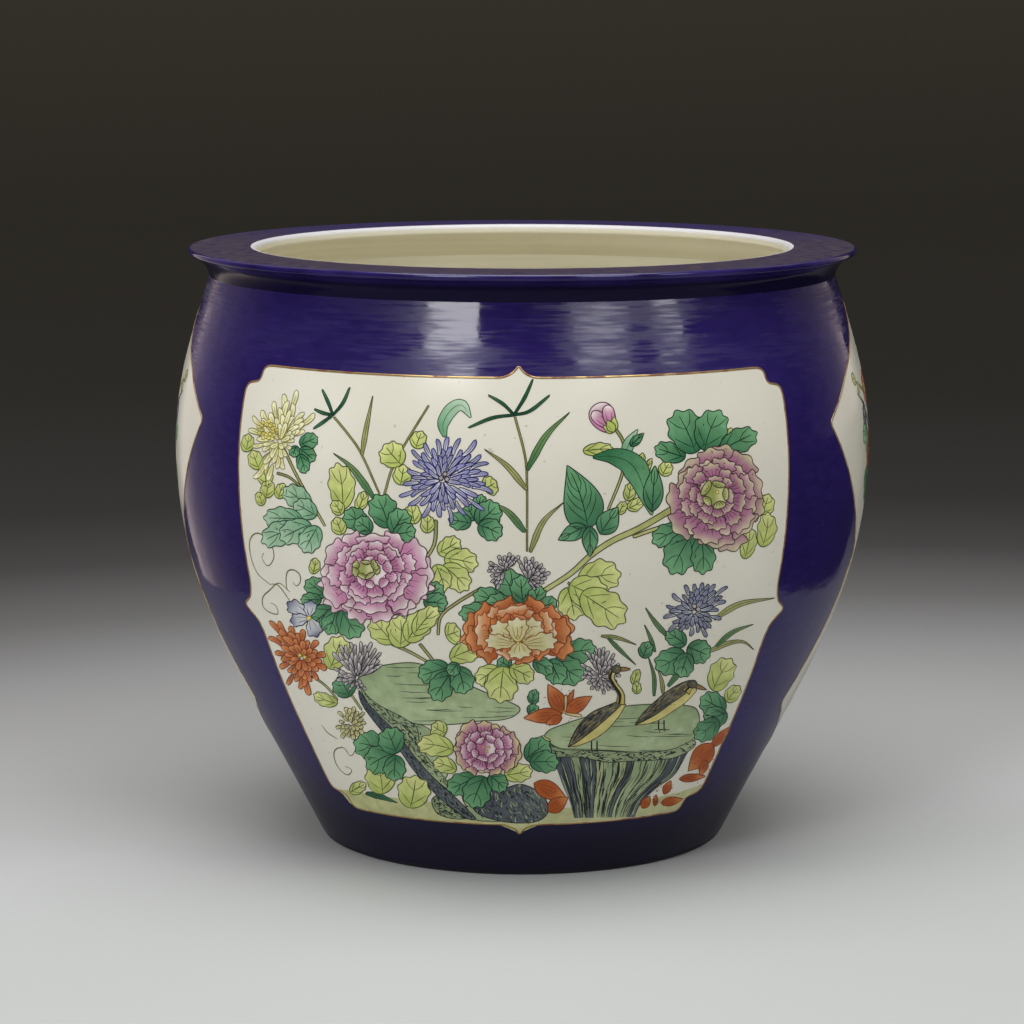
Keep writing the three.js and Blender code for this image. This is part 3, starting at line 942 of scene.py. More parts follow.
def curve(points, closed=False, steps=6):
    """A smooth path through points."""
    spots = np.array([complex(*point) for point in points])
    before, after = spots[-1:], spots[:2]
    if not closed:
        before, after = 2 * spots[:1] - spots[1:2], 2 * spots[-1:] - spots[-2:-1]
    knots = np.concatenate([before, spots, after])
    a, b, c, d = (knots[i:len(knots) - 3 + i, None] for i in range(4))
    t = np.linspace(0, 1, steps, endpoint=False)
    fine = b + 0.5 * t * ((c - a) + t * ((2 * a - 5 * b + 4 * c - d) + t * (3 * b - a - 3 * c + d)))
    return fine.ravel() if closed else np.append(fine.ravel(), spots[-1])


def along(base, tip, power=1.0):
    """A share that runs from 0 at base to 1 at tip."""
    reach = tip - base
    return lambda spots: np.clip(((spots - base) * np.conj(reach)).real / abs(reach) ** 2, 0, 1) ** power


def columns(spots):
    """Complex spots as rows of x and y."""
    return np.column_stack([spots.real, spots.imag])


def lattice(low, high, step):
    """Rows of x and y in even steps between two corners."""
    x, y = np.meshgrid(*(np.arange(a, b, step) for a, b in zip(low, high)))
    return np.column_stack([x.ravel(), y.ravel()])


class Canvas:
    """Patches and lines of a painting, by motif, and how many patches lie over each spot."""

    def __init__(self, place, turn, mirrored):
        self.place, self.turn, self.mirrored = place, math.radians(turn), mirrored
        cells = PICTURE_PIXELS // LEVEL_CELL + 1
        self.levels = np.zeros((cells, cells), int)
        self.motifs = []

    def motif(self, name):
        self.motifs.append((name, [], []))

    def cells_under(self, outline):
        """The cells of the level map that an outline holds or crosses."""
        loop = columns(outline)
        crossed = loop // LEVEL_CELL
        cells = lattice(crossed.min(axis=0), crossed.max(axis=0) + 1, 1)
        held = inside((cells + 0.5) * LEVEL_CELL, loop)
        cells = np.vstack([cells[held], crossed]).astype(int)
        return cells[:, 1], cells[:, 0]

    def level_over(self, outline):
        return int(self.levels[self.cells_under(outline)].max()) + 1

    def fill(self, outline, tone, share, level=None):
        """A patch of enamel, on top unless it is given its level, which comes back."""
        outline = evenly(np.append(outline, outline[0]), PATCH_STEP)[:-1]
        loop = columns(outline)
        grid = lattice(loop.min(axis=0) + PATCH_GRID / 2, loop.max(axis=0), PATCH_GRID)
        grid = grid[inside(grid, loop)]
        within = grid[:, 0] + 1j * grid[:, 1]
        within = within[np.abs(within[:, None] - outline).min(axis=1) > PATCH_MARGIN]
        spots = np.concatenate([outline, within])
        if level is None:
            level = self.level_over(outline)
        cells = self.cells_under(outline)
        self.levels[cells] = np.maximum(self.levels[cells], level)
        edges = [(i, (i + 1) % len(outline)) for i in range(len(outline))]
        flat = [Vector((spot.real, -spot.imag)) for spot in spots.tolist()]
        points, _, faces, *_ = delaunay_2d_cdt(flat, edges, [], 1, PATCH_TOLERANCE)
        spots = np.array([complex(point.x, -point.y) for point in points])
        colours = lerp(tone[0], tone[1], share(spots)[:, None])
        self.motifs[-1][1].append((spots, np.array(faces, int).reshape(-1, 3), level, colours))
        return level

    def line(self, spots, level, colour, width=LINE_WIDTH, taper=1.0):
        """A brush line over the patches of a level, thinner towards its ends."""
        self.motifs[-1][2].append((evenly(spots, STROKE_STEP), level, colour, width, taper))

    def outlined(self, outline, tone, share, level=None, width=LINE_WIDTH):
        level = self.fill(outline, tone, share, level)
        self.line(np.append(outline, outline[0]), level, tone[2], width)
        return level

    def lay(self, material):
        """The painting's pieces, one for each motif."""
        for name, patches, strokes in self.motifs:
            angle, height = cast(np.concatenate([item[0] for item in patches + strokes]))
            angle = self.turn + (-angle if self.mirrored else angle)
            count = sum(len(patch[0]) for patch in patches)
            parts = [self.raise_patches(patches, angle[:count], height[:count])] if patches else []
            for spots, level, colour, width, taper in strokes:
                here = slice(count, count + len(spots))
                parts.append(ribbon(angle[here], height[here], level, colour, width, taper))
                count += len(spots)
            vertices, faces, normals, colours = join(parts)
            piece = new_object(f"{self.place}_{name}", vertices, faces, material, normals, colours)
            front_map(piece, self.turn)
            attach(piece, "root")

    def raise_patches(self, patches, angle, height):
        level = np.concatenate([np.full(len(spots), level) for spots, _, level, _ in patches])
        top, normal = on_skin(angle, height, ENAMEL_BASE + ENAMEL_RISE * level)
        root, _ = on_skin(angle, height, -ENAMEL_ROOT)
        first = np.cumsum([0] + [len(spots) for spots, _, _, _ in patches])
        faces = np.vstack([faces + start for (_, faces, _, _), start in zip(patches, first)])
        if self.mirrored:
            faces = faces[:, ::-1]
        count = len(top)
        edge = open_edges(faces, count)
        walls = np.column_stack([edge[:, 1], edge[:, 0], edge[:, 0] + count, edge[:, 1] + count])
        normals = np.vstack([normal[faces.ravel()], np.zeros((3 * len(faces) + 4 * len(walls), 3))])
        colours = np.vstack([patch[3] for patch in patches] * 2)
        polygons = faces.tolist() + (faces[:, ::-1] + count).tolist() + walls.tolist()
        return np.vstack([top, root]), polygons, normals, colours


def ribbon(angle, height, level, colour, width, taper):
    """A closed line of enamel, three-sided in section, along points of the skin."""
    lift = ENAMEL_BASE + ENAMEL_RISE * level + LINE_RISE
    spots, normal = on_skin(angle, height, lift)
    side = np.cross(normal, np.gradient(spots, axis=0))
    side /= np.linalg.norm(side, axis=1)[:, None] + 1e-9
    share = np.linspace(0, 1, len(spots))
    half = width / 2 * lerp(taper, 1, np.minimum(1, 4 * share * (1 - share)))[:, None]
    vertices = np.stack([spots - side * half, spots + normal * LINE_CREST, spots + side * half], axis=1)
    first = 3 * np.arange(len(spots) - 1)
    sides = ((0, 1), (1, 2), (2, 0))
    faces = np.vstack([
        np.column_stack([first + a, first + a + 3, first + b + 3, first + b]) for a, b in sides
    ])
    end = 3 * len(spots) - 3
    caps = [[0, 1, 2], [end + 2, end + 1, end]]
    near = np.repeat(normal, 3, axis=0)
    count = 2 * len(first)
    normals = np.vstack([near[faces[:count].ravel()], np.zeros((4 * len(first) + 6, 3))])
    return vertices.reshape(-1, 3), faces.tolist() + caps, normals, np.tile(colour, (3 * len(spots), 1))


def front_map(piece, turn):
    """A flat map of a motif, as it is seen from outside."""
    count = len(piece.data.vertices)
    spots = np.empty(3 * count)
    piece.data.vertices.foreach_get("co", spots)
    x, y, z = spots.reshape(-1, 3).T
    angle = np.angle(np.exp(1j * (np.arctan2(x, -y) - turn)))
    flat = np.column_stack([angle * BELLY_RADIUS * MM, z])
    flat = (flat - flat.min(axis=0)) / np.ptp(flat, axis=0)
    corners = np.empty(len(piece.data.loops), int)
    piece.data.loops.foreach_get("vertex_index", corners)
    layer = piece.data.uv_layers.new(name="OFBake")
    layer.data.foreach_set("uv", (MAP_MARGIN + (1 - 2 * MAP_MARGIN) * flat[corners]).ravel())


def join(parts):
    """One mesh of several, each as its points, faces, normals and colours."""
    first = np.cumsum([0] + [len(part[0]) for part in parts]).tolist()
    faces = [[corner + start for corner in face] for part, start in zip(parts, first) for face in part[1]]
    vertices, normals, colours = (np.vstack([part[i] for part in parts]) for i in (0, 2, 3))
    return vertices, faces, normals, colours


# Shapes of the motifs, along and across a spine of length 1

def egg(blunt=0.0, scallops=0, depth=0.0):
    """A rounded outline, broader and scalloped towards its end."""
    turn = np.linspace(-math.pi, math.pi, 8 * max(scallops, 4), endpoint=False)
    swell = 1 + depth * np.cos(scallops * turn) * (np.cos(turn) > -0.4)
    return 0.5 + 0.5 * np.cos(turn) * swell + 1j * np.sin(turn) * (1 + blunt * np.cos(turn)) * swell


def lens(skew):
    """A pointed outline, broadest before its middle where the skew is under 1."""
    share = np.linspace(0, 1, 14)
    half = 1j * np.sin(math.pi * share ** skew)
    return np.concatenate([share + half, (share - half)[-2:0:-1]])


def strap():
    """A narrow petal with a round end."""
    share = np.sin(np.linspace(0, math.pi / 2, 10))
    half = 1j * lerp(0.3, 1, share ** 0.6) * np.sqrt(1 - share ** 5)
    return np.concatenate([share + half, (share - half)[-2::-1]])


LOBE = egg(0.06, 9, 0.08)
SMALL_LOBE = egg(-0.04, 7, 0.08)
RUFFLE = egg(0.34, 9, 0.13)
WAVY_PETAL = egg(0.42, 7, 0.12)
PETAL_SCALE = egg(0.25)
HEAD = egg(0.15)
DISC = egg()
POINTED = lens(0.75)
BROAD_POINTED = lens(0.62)
STRAP = strap()

# Half widths of bands, from base to tip
BLADE_HALVES = (0.5, 1, 0.85, 0.45, 0.05)
STEM_HALVES = (1, 0.9, 0.75)
SPIKE_HALVES = (0.7, 0.8, 1, 0.8, 0.4)
NECK_HALVES = (1.2, 0.8, 0.75, 0.9)

# A leaf's rib and veins, and the reach of each ring of a chrysanthemum
RIB = np.linspace(0.03, 0.88, 9)
VEIN_STARTS = (0.12, 0.55)
VEIN_RUN = np.array([0, 0.13, 0.25, 0.36])
VEIN_SPREAD = (0, 0.4, 0.66, 0.84)
FLOWER_REACHES = (1.0, 0.8, 0.6, 0.42)
DENSE_REACHES = (1.0, 0.92, 0.74, 0.64, 0.46)
RAY_LENGTH = 0.42
RAY_RIB = np.linspace(0.2, 0.75, 5)
THINNED_REACH = 0.5
WIDEST_GAP = 1.3

# Lobes of a leaf, petals and rays, in shares of their own size
LOBE_FOOT = 0.5
LOBE_TIP = 0.56
LOBE_ROOT = 0.6
PALE_FROM = 0.45
PALE_POWER = 1.8
PETAL_BASE = 0.5
PETAL_VEIN_RUN = np.array([0.1, 0.4, 0.66])
PETAL_VEIN_SPREAD = np.array([0.3, 0.8, 1.0])
FLOWER_CORE = 0.7
RAY_CORE = 0.06

# How much chance changes them
LOBE_BEND = 0.05
LEAFLET_BEND = 0.06
RAY_BEND = 0.12
RAY_REACHES = (0.93, 1.04)
RAY_WIDTHS = (0.85, 1.15)
EVEN_REACHES = (0.8, 1)
PETAL_TURN = 0.16
PETAL_REACHES = (0.86, 1.08)
PETAL_WIDTHS = (0.78, 1.28)

# Strokes on rocks, loose specks and feathers, drawn between two bounds
SPECK_REACHES = (0.5, 1)
SPECK_LENGTHS = (0.6, 1.6)
DASH_LENGTHS = (12, 44)
DASH_TILT = 1.5
DASH_SAG = 0.6j
DOT_LENGTHS = (1.2, 5.0)
DOT_TILT = 2.0
DOT_WIDTHS = (0.4, 1.0)
STREAK_PLACES = (0.01, 0.99)
STREAK_STARTS = (0, 0.8)
STREAK_RUNS = (0.1, 0.5)
STREAK_WAVE = 0.5
STREAK_WIDTHS = (0.6, 1.7)
WING_SHARE = 0.62
FEATHER_PLACES = (0.05, 0.56)
FEATHER_SPOTS = (2, 4)
FEATHER_WIDTHS = (0.4, 0.9)

# Counts, and sizes in pixels of the picture
OUTLINE_SPOTS = 30
CLIFF_ROWS = 23
FEATHERS = 150
LAST_FEATHER = OUTLINE_SPOTS - 5
BAND_STEP = 3.0
CLIFF_STEP = 2.5
BIRD_STEP = 1.5
SMALL_LEAF = 24
SPIKE_WIDTH = 3.2
TENDRIL_WIDTH = 0.85
PLATE_LINE = 0.75
NECK_WIDTH = 7
BEAK_WIDTH = 4
HEAD_RADII = (5, 4)
EYE_SIZE = 2.2
EYE_PLACE = (1.5, -0.8)
LEG_SHIFTS = (-2.5, 3)
LEG_LENGTH = 10j
ANKLE_RISE = 1j
LEG_ROOM = np.array([-8 - 8j, 8 - 8j, 8 + 0j, -8 + 0j])
TOES = (-5, 1 + 1.5j, 6)
NECK_STRIPES = (-1.9, -1.2, -0.4)


def placed(shape, base, tip, width, bend=0.0):
    """A shape set between two spots and bent to one side."""
    reach = tip - base
    sag = bend * abs(reach) * 4 * shape.real * (1 - shape.real)
    return base + shape.real * reach + 1j * reach / abs(reach) * (shape.imag * width / 2 + sag)


def swept(points, width, halves):
    """The spine and the outline of a band along a smooth path."""
    spine = evenly(curve(points), BAND_STEP)
    side = 1j * np.gradient(spine)
    side /= np.abs(side)
    half = np.interp(np.linspace(0, 1, len(spine)), np.linspace(0, 1, len(halves)), halves) * width / 2
    return spine, np.concatenate([spine + side * half, (spine - side * half)[::-1]])


def spread(points, step, count):
    """A smooth path through points, as a number of even spots."""
    path = evenly(curve(points), step)
    at = np.linspace(0, 1, len(path))
    share = np.linspace(0, 1, count)
    return np.interp(share, at, path.real) + 1j * np.interp(share, at, path.imag)


def sway(amount):
    """A random share of an amount, to either side."""
    return chance.uniform(-amount, amount)


# Motifs

def lobe(canvas, tone, base, tip, width, shape=LOBE, bend=0.0, veins=2):
    """A leaf or one lobe of a leaf, with veins that run towards its edge."""
    level = canvas.outlined(placed(shape, base, tip, width, bend), tone, along(base, tip))
    canvas.line(placed(RIB + 0j, base, tip, width, bend), level, tone[2], LINE_WIDTH, taper=0.5)
    edge = shape[shape.imag > 0]
    edge = edge[np.argsort(edge.real)]
    for start in np.linspace(*VEIN_STARTS, veins):
        at = start + VEIN_RUN
        half = np.interp(at, edge.real, edge.imag) * VEIN_SPREAD
        for side in (-1j, 1j):
            vein = placed(at + side * half, base, tip, width, bend)
            canvas.line(vein, level, tone[2], VEIN_LINE, taper=0.4)


def leaf(canvas, tone, stalk, *lobes):
    """A leaf of rounded lobes, each given by its middle and size."""
    stalk = complex(*stalk)
    for x, y, size in lobes:
        middle = complex(x, y)
        reach = (middle - stalk) / abs(middle - stalk)
        base = lerp(stalk, middle - reach * size * LOBE_FOOT, LOBE_ROOT)
        tip = middle + reach * size * LOBE_TIP
        lobe(canvas, tone, base, tip, size, bend=sway(LOBE_BEND))


def leaflets(canvas, tone, *places):
    """Small leaves, each by its middle, its size and its lean to the right in degrees."""
    for x, y, width, height, tilt in places:
        half = -0.5j * height * np.exp(1j * math.radians(tilt))
        middle = complex(x, y)
        shape = SMALL_LOBE if max(width, height) < SMALL_LEAF else LOBE
        lobe(canvas, tone, middle - half, middle + half, width, shape, sway(LEAFLET_BEND))


def blade(canvas, tone, points, width, halves=BLADE_HALVES):
    """A long thin leaf of grass."""
    spine, outline = swept(points, width, halves)
    level = canvas.outlined(outline, tone, along(spine[0], spine[-1]), width=VEIN_LINE)
    canvas.line(spine[:-2], level, tone[2], FINE_LINE, taper=0.3)


def blades(canvas, tone, rows):
    """Long thin leaves, each by its points and its width."""
    for points, width in rows:
        blade(canvas, tone, points, width)


def stems(canvas, tone, rows):
    """Stalks or branches, lined on both sides."""
    for points, width in rows:
        spine, outline = swept(points, width, STEM_HALVES)
        canvas.outlined(outline, tone, along(spine[0], spine[-1]))


def crabgrass(canvas, tone, node, arms):
    """Dark spikes that spread from the top of a stalk."""
    for arm in arms:
        blade(canvas, tone, [node, *arm], SPIKE_WIDTH, SPIKE_HALVES)


def tendrils(canvas, colour, rows):
    """Thin curling lines."""
    for points in rows:
        spots = curve(points)
        canvas.line(spots, canvas.level_over(spots), colour, TENDRIL_WIDTH, taper=0.5)


def chrysanthemum(canvas, tone, heart, tips, width, reaches=FLOWER_REACHES):
    """Narrow petals that point from a heart towards the tips, ring over ring."""
    heart = complex(*heart)
    tips = sorted((complex(*tip) for tip in tips), key=lambda tip: np.angle(tip - heart))
    pairs = list(zip(tips, tips[1:] + tips[:1]))
    for ring, reach in enumerate(reaches):
        step = 1 if reach > THINNED_REACH else 2
        rays = ray_ring(heart, pairs[ring % 2::step], ring % 2 == 1, reach)
        outlines = [
            placed(STRAP, base, tip, width * chance.uniform(*RAY_WIDTHS), bend) for base, tip, bend in rays
        ]
        level = max(canvas.level_over(outline) for outline in outlines)
        for k, ((base, tip, bend), outline) in enumerate(zip(rays, outlines)):
            canvas.outlined(outline, tone, along(base, tip), level + k % 3, PETAL_LINE)
            rib = placed(RAY_RIB + 0j, base, tip, width, bend)
            canvas.line(rib, level + k % 3, tone[2], HAIR_LINE, taper=0.3)


def ray_ring(heart, pairs, between, reach):
    """A ring of narrow petals towards tips, or between them, each as its base, tip and bend."""
    rays = []
    for a, b in pairs:
        apart = abs(np.angle((b - heart) / (a - heart)))
        goal = lerp(a, b, 0.5) if between and apart <= WIDEST_GAP else a
        arm = (goal - heart) * chance.uniform(*RAY_REACHES)
        base = heart + arm * max(reach - RAY_LENGTH, RAY_CORE)
        rays.append((base, heart + arm * reach, sway(RAY_BEND)))
    return rays


def even_chrysanthemum(canvas, tone, heart, radius, count, width, reaches):
    """A chrysanthemum whose petals stand evenly round its heart, some shorter than others."""
    tips = [(
        heart[0] + radius * chance.uniform(*EVEN_REACHES) * math.cos(2 * math.pi * k / count),
        heart[1] + radius * chance.uniform(*EVEN_REACHES) * math.sin(2 * math.pi * k / count),
    ) for k in range(count)]
    chrysanthemum(canvas, tone, heart, tips, width, reaches)


def rosette(canvas, heart_tone, centre, radii, *rings):
    """A peony's petals in rings, each by reach, count, width, shape and tone, over a patch of heart."""
    centre = complex(*centre)
    turn = np.linspace(0, 2 * math.pi, 24, endpoint=False)
    core = FLOWER_CORE * rings[-1][0] * (radii[0] * np.cos(turn) + 1j * radii[1] * np.sin(turn))
    canvas.fill(centre + core, heart_tone, along(centre, centre + 1))
    for reach, count, width, shape, tone in rings:
        start = chance.uniform(0, 1)
        arms = []
        for k in range(count):
            angle = 2 * math.pi * (k + start + sway(PETAL_TURN)) / count
            arm = complex(radii[0] * math.cos(angle), radii[1] * math.sin(angle))
            arms.append(arm * chance.uniform(*PETAL_REACHES) * reach)
        ends = [(centre + arm * PETAL_BASE, centre + arm) for arm in arms]
        outlines = [placed(shape, base, tip, width * chance.uniform(*PETAL_WIDTHS)) for base, tip in ends]
        level = max(canvas.level_over(outline) for outline in outlines)
        for k, ((base, tip), outline) in enumerate(zip(ends, outlines)):
            tier = level + (k % 2 if k < count - 1 else 2)
            petal(canvas, tone, base, tip, width, outline, 3, tier)


def petal(canvas, tone, base, tip, width, outline, veins, level=None):
    """A broad petal, pale along its edge, with fine lines that fan from its base."""
    level = canvas.outlined(outline, tone, along(lerp(base, tip, PALE_FROM), tip, PALE_POWER), level)
    for across in np.linspace(-0.5, 0.5, veins):
        vein = PETAL_VEIN_RUN + 1j * across * PETAL_VEIN_SPREAD
        canvas.line(placed(vein, base, tip, width), level, tone[2], FINE_LINE, taper=0.2)


def petals(canvas, tone, shape, veins, *places):
    """Broad petals, each by its base, its tip and its width."""
    for base_x, base_y, tip_x, tip_y, width in places:
        base, tip = complex(base_x, base_y), complex(tip_x, tip_y)
        petal(canvas, tone, base, tip, width, placed(shape, base, tip, width), veins)


def dabs(canvas, tone, size, *places):
    """Small round touches of enamel."""
    for x, y in places:
        middle = complex(x, y)
        dab = placed(DISC, middle - size / 2, middle + size / 2, size)
        canvas.outlined(dab, tone, along(middle - size, middle + size))


def fringe(canvas, tone, centre, radii, count):
    """Loose specks of colour round a motif."""
    for _ in range(count):
        turn, reach = chance.uniform(0, 2 * math.pi), chance.uniform(*SPECK_REACHES)
        away = complex(radii[0] * reach * math.cos(turn), radii[1] * reach * math.sin(turn))
        spot = complex(*centre) + away
        ends = np.array([spot, spot + chance.uniform(*SPECK_LENGTHS) * np.exp(1j * turn)])
        canvas.line(ends, canvas.level_over(ends), tone[2], LINE_WIDTH, taper=0.6)


def ground(canvas, tone, wash, edge):
    """A patch of ground without a line, with its wash from one spot to another."""
    canvas.fill(np.array([complex(*spot) for spot in edge]), tone, along(*wash))


def scattered(outline, count, reach, tilt):
    """Short level strokes at random inside an outline, each as its two ends."""
    loop = columns(outline)
    low, high = loop.min(axis=0), loop.max(axis=0)
    strokes = []
    while len(strokes) < count:
        middle = complex(chance.uniform(low[0], high[0]), chance.uniform(low[1], high[1]))
        half = complex(chance.uniform(*reach), sway(tilt)) / 2
        ends = np.array([middle - half, middle + half])
        if inside(columns(ends), loop).all():
            strokes.append(ends)
    return strokes


def plate(canvas, outline, tone, dashes):
    """A flat rock face with scattered level strokes."""
    edge = curve(outline, closed=True, steps=4)
    top = 1j * edge.imag.min() + edge.real.mean()
    bottom = 1j * edge.imag.max() + edge.real.mean()
    level = canvas.outlined(edge, tone, along(top, bottom), width=PLATE_LINE)
    for start, end in scattered(edge, dashes, DASH_LENGTHS, DASH_TILT):
        dash = np.array([start, lerp(start, end, 0.5) + DASH_SAG, end])
        canvas.line(dash, level, tone[2], VEIN_LINE, taper=0.3)


def cliff(canvas, left, right, bands, streaks, streak_tones):
    """An upright rock face between two edges, in bands of colour with fine streaks."""
    edges = [spread(side, CLIFF_STEP, CLIFF_ROWS + 1) for side in (left, right)]
    level = canvas.level_over(np.concatenate([edges[0], edges[1][::-1]]))
    for start, end, tone in bands:
        a, b = lerp(*edges, start), lerp(*edges, end)
        canvas.fill(np.concatenate([a, b[::-1]]), tone, along(a[0], a[-1]), level)
        canvas.line(b, level, tone[2], LINE_WIDTH, taper=0.5)
    for _ in range(streaks):
        across = chance.uniform(*STREAK_PLACES)
        first = chance.uniform(*STREAK_STARTS)
        last = min(first + chance.uniform(*STREAK_RUNS), 1)
        here = lerp(*edges, across)[int(first * CLIFF_ROWS):int(last * CLIFF_ROWS) + 1]
        wave = np.cumsum([sway(STREAK_WAVE) for _ in here])
        colour = chance.choice(streak_tones)
        canvas.line(here + wave, level, colour, LINE_WIDTH * chance.uniform(*STREAK_WIDTHS), taper=0.2)


def mottle(canvas, outline, tone, dots, dot_tones, lean):
    """Rough rock, speckled with small touches that lean along it."""
    edge = curve(outline, closed=True, steps=4)
    level = canvas.outlined(edge, tone, along(edge[0], edge[len(edge) // 2]))
    turn = np.exp(1j * math.radians(lean))
    for start, end in scattered(edge, dots, DOT_LENGTHS, DOT_TILT):
        middle = (start + end) / 2
        ends = middle + (np.array([start, end]) - middle) * turn
        canvas.line(ends, level, chance.choice(dot_tones), chance.uniform(*DOT_WIDTHS), taper=0.5)


def quail(canvas, back, belly, neck, head, beak, foot):
    """A speckled bird, by the edges of its back and belly, its neck, head, beak and foot."""
    quail_legs(canvas, foot)
    quail_body(canvas, *(spread(edge, BIRD_STEP, OUTLINE_SPOTS) for edge in (back, belly)))
    spine, outline = swept(neck, NECK_WIDTH, NECK_HALVES)
    level = canvas.outlined(outline, BELLY, along(spine[0], spine[-1]))
    for shift in NECK_STRIPES:
        canvas.line(spine + shift, level, FEATHER_LINES[0], 0.9, taper=0.6)
    canvas.outlined(placed(POINTED, head, beak, BEAK_WIDTH), BEAK, along(head, beak))
    length, half = HEAD_RADII
    skull = placed(HEAD, head - length, head + length, 2 * half)
    canvas.outlined(skull, PLUMAGE, along(head - 6, head + 6))
    dabs(canvas, EYE, EYE_SIZE, (head.real + EYE_PLACE[0], head.imag + EYE_PLACE[1]))


def quail_legs(canvas, foot):
    """Two thin legs, each with three toes."""
    level = canvas.level_over(foot + LEG_ROOM)
    for shift in LEG_SHIFTS:
        ankle = foot + shift - ANKLE_RISE
        canvas.line(np.array([foot + shift - LEG_LENGTH, ankle]), level, PLUMAGE[2], 1.0)
        for toe in TOES:
            canvas.line(np.array([ankle, foot + shift + toe]), level, PLUMAGE[2], LINE_WIDTH, taper=0.4)


def quail_body(canvas, back, belly):
    """A pale belly under a wing that is streaked from end to end."""
    middle = len(back) // 2
    canvas.outlined(np.concatenate([back, belly[::-1]]), BELLY, along(back[middle], belly[middle]))
    wing = np.concatenate([back, lerp(back, belly, WING_SHARE)[::-1]])
    level = canvas.outlined(wing, PLUMAGE, along(back[0], back[-1]))
    for _ in range(FEATHERS):
        at, across = chance.randrange(1, LAST_FEATHER), chance.uniform(*FEATHER_PLACES)
        feather = lerp(back, belly, across)[[at, at + chance.randrange(*FEATHER_SPOTS)]]
        canvas.line(feather, level, chance.choice(FEATHER_LINES), chance.uniform(*FEATHER_WIDTHS), taper=0.4)


# Enamel colours: base, tip and line

GREEN = tones((48, 112, 76), (122, 180, 130), (24, 52, 40))
TEAL = tones((112, 170, 128), (182, 212, 182), (40, 76, 58))
LIME = tones((184, 200, 104), (226, 230, 154), (84, 92, 48))
DEEP = tones((38, 86, 60), (72, 130, 88), (22, 46, 36))
GRASS = tones((70, 122, 78), (138, 164, 104), (40, 70, 44))
OLIVE = tones((150, 156, 92), (190, 192, 130), (78, 72, 48))
STALK = tones((176, 180, 112), (190, 190, 134), (104, 100, 60))
BRANCH = tones((176, 182, 108), (200, 204, 136), (84, 72, 48))
YELLOW = tones((228, 222, 140), (248, 246, 208), (134, 128, 84))
YOLK = tones((230, 220, 106), (242, 236, 152), (150, 136, 58))
STRAW = tones((204, 200, 130), (224, 220, 170), (84, 76, 44))
INDIGO = tones((228, 228, 230), (118, 118, 182), (44, 42, 104))
SLATE = tones((206, 208, 214), (96, 102, 142), (34, 36, 62))
ASH = tones((138, 130, 140), (220, 212, 212), (54, 48, 56))
MAUVE = tones((170, 104, 142), (216, 210, 168), (80, 54, 60))
MAUVE_INNER = tones((176, 112, 148), (222, 216, 178), (80, 54, 60))
MAUVE_HEART = tones((160, 168, 92), (214, 214, 156), (76, 66, 44))
LOW_PETAL = tones((184, 118, 150), (230, 222, 158), (84, 52, 60))
PINK = tones((202, 134, 172), (246, 238, 234), (96, 54, 78))
PINK_DEEP = tones((190, 114, 158), (242, 224, 226), (94, 48, 74))
ORANGE = tones((188, 94, 36), (228, 158, 100), (130, 54, 20))
PALE_ORANGE = tones((212, 130, 70), (238, 222, 188), (158, 72, 30))
RUST = tones((176, 78, 30), (226, 146, 84), (116, 46, 18))
CREAM = tones((214, 206, 150), (232, 228, 196), (150, 84, 44))
ROCK_TOP = tones((156, 176, 132), (184, 200, 158), (62, 76, 58))
ROCK_DARK = tones((72, 80, 94), (110, 116, 120), (24, 28, 34))
ROCK_GREEN = tones((142, 160, 122), (172, 186, 144), (46, 54, 44))
ROCK_LIME = tones((178, 188, 136), (196, 204, 156), (88, 94, 66))
GROUND = tones((196, 198, 142), (210, 210, 162), (120, 120, 80))
BELLY = tones((196, 178, 92), (226, 214, 140), (86, 74, 44))
PLUMAGE = tones((70, 68, 56), (118, 112, 88), (40, 36, 32))
BEAK = tones((150, 110, 60), (176, 140, 84), (70, 50, 34))
EYE = tones((24, 20, 18), (24, 20, 18), (230, 220, 180))
VINE = ink(104, 106, 58)
FEATHER_LINES = (ink(32, 30, 30), ink(52, 66, 84), ink(160, 148, 104))
DARK_SPECKS = (ink(30, 36, 40), ink(38, 42, 52), ink(44, 66, 54))
BLACK_STREAKS = (ink(26, 28, 32), ink(40, 46, 60), ink(60, 72, 66), ink(168, 182, 144))


# Rocks and ground of the front reserve, in pixels of the front view

GROUND_WASH = (340 + 790j, 700 + 800j)
GROUND_EDGE = [
    (336, 789), (356, 791), (380, 796), (420, 801), (470, 806), (520, 808), (560, 808), (610, 805),
    (650, 799), (680, 792), (703, 784), (702, 788), (694, 793), (686, 797), (682, 803), (677, 809.5),
    (661, 813), (625, 818), (589, 821.3), (560, 823), (541, 824), (531, 828), (519, 833), (508, 828),
    (497, 824), (475, 823), (449, 821), (425, 819), (401, 816.6), (380, 812.6), (358, 808), (350, 803),
    (343, 794),
]
LEFT_FOOT_PALE = [(462, 796), (480, 800), (504, 810), (506, 820), (488, 821), (474, 818)]
LEFT_FOOT = [(432, 799), (444, 794), (458, 803), (470, 816), (460, 819), (446, 817), (436, 812)]
LEFT_PLATE = [
    (358, 680), (365, 672), (376, 667), (400, 663), (421, 664), (450, 676), (480, 690), (505, 700),
    (520, 708), (514, 716), (500, 720), (478, 721), (456, 724), (418, 724), (399, 715), (376, 703),
    (364, 691),
]
LEFT_LEG_DARK = [
    (359, 690), (367, 702), (380, 716), (394, 730), (406, 745), (416, 758), (428, 772), (440, 784),
    (454, 796), (466, 808), (476, 819), (466, 818), (454, 809), (440, 798), (426, 784), (412, 768),
    (401, 752), (386, 736), (370, 716), (361, 702),
]
LEFT_LEG_GREEN = [
    (360, 686), (376, 700), (398, 712), (416, 726), (420, 744), (428, 758), (440, 772), (450, 786),
    (446, 788), (432, 776), (416, 758), (404, 742), (388, 724), (370, 706),
]
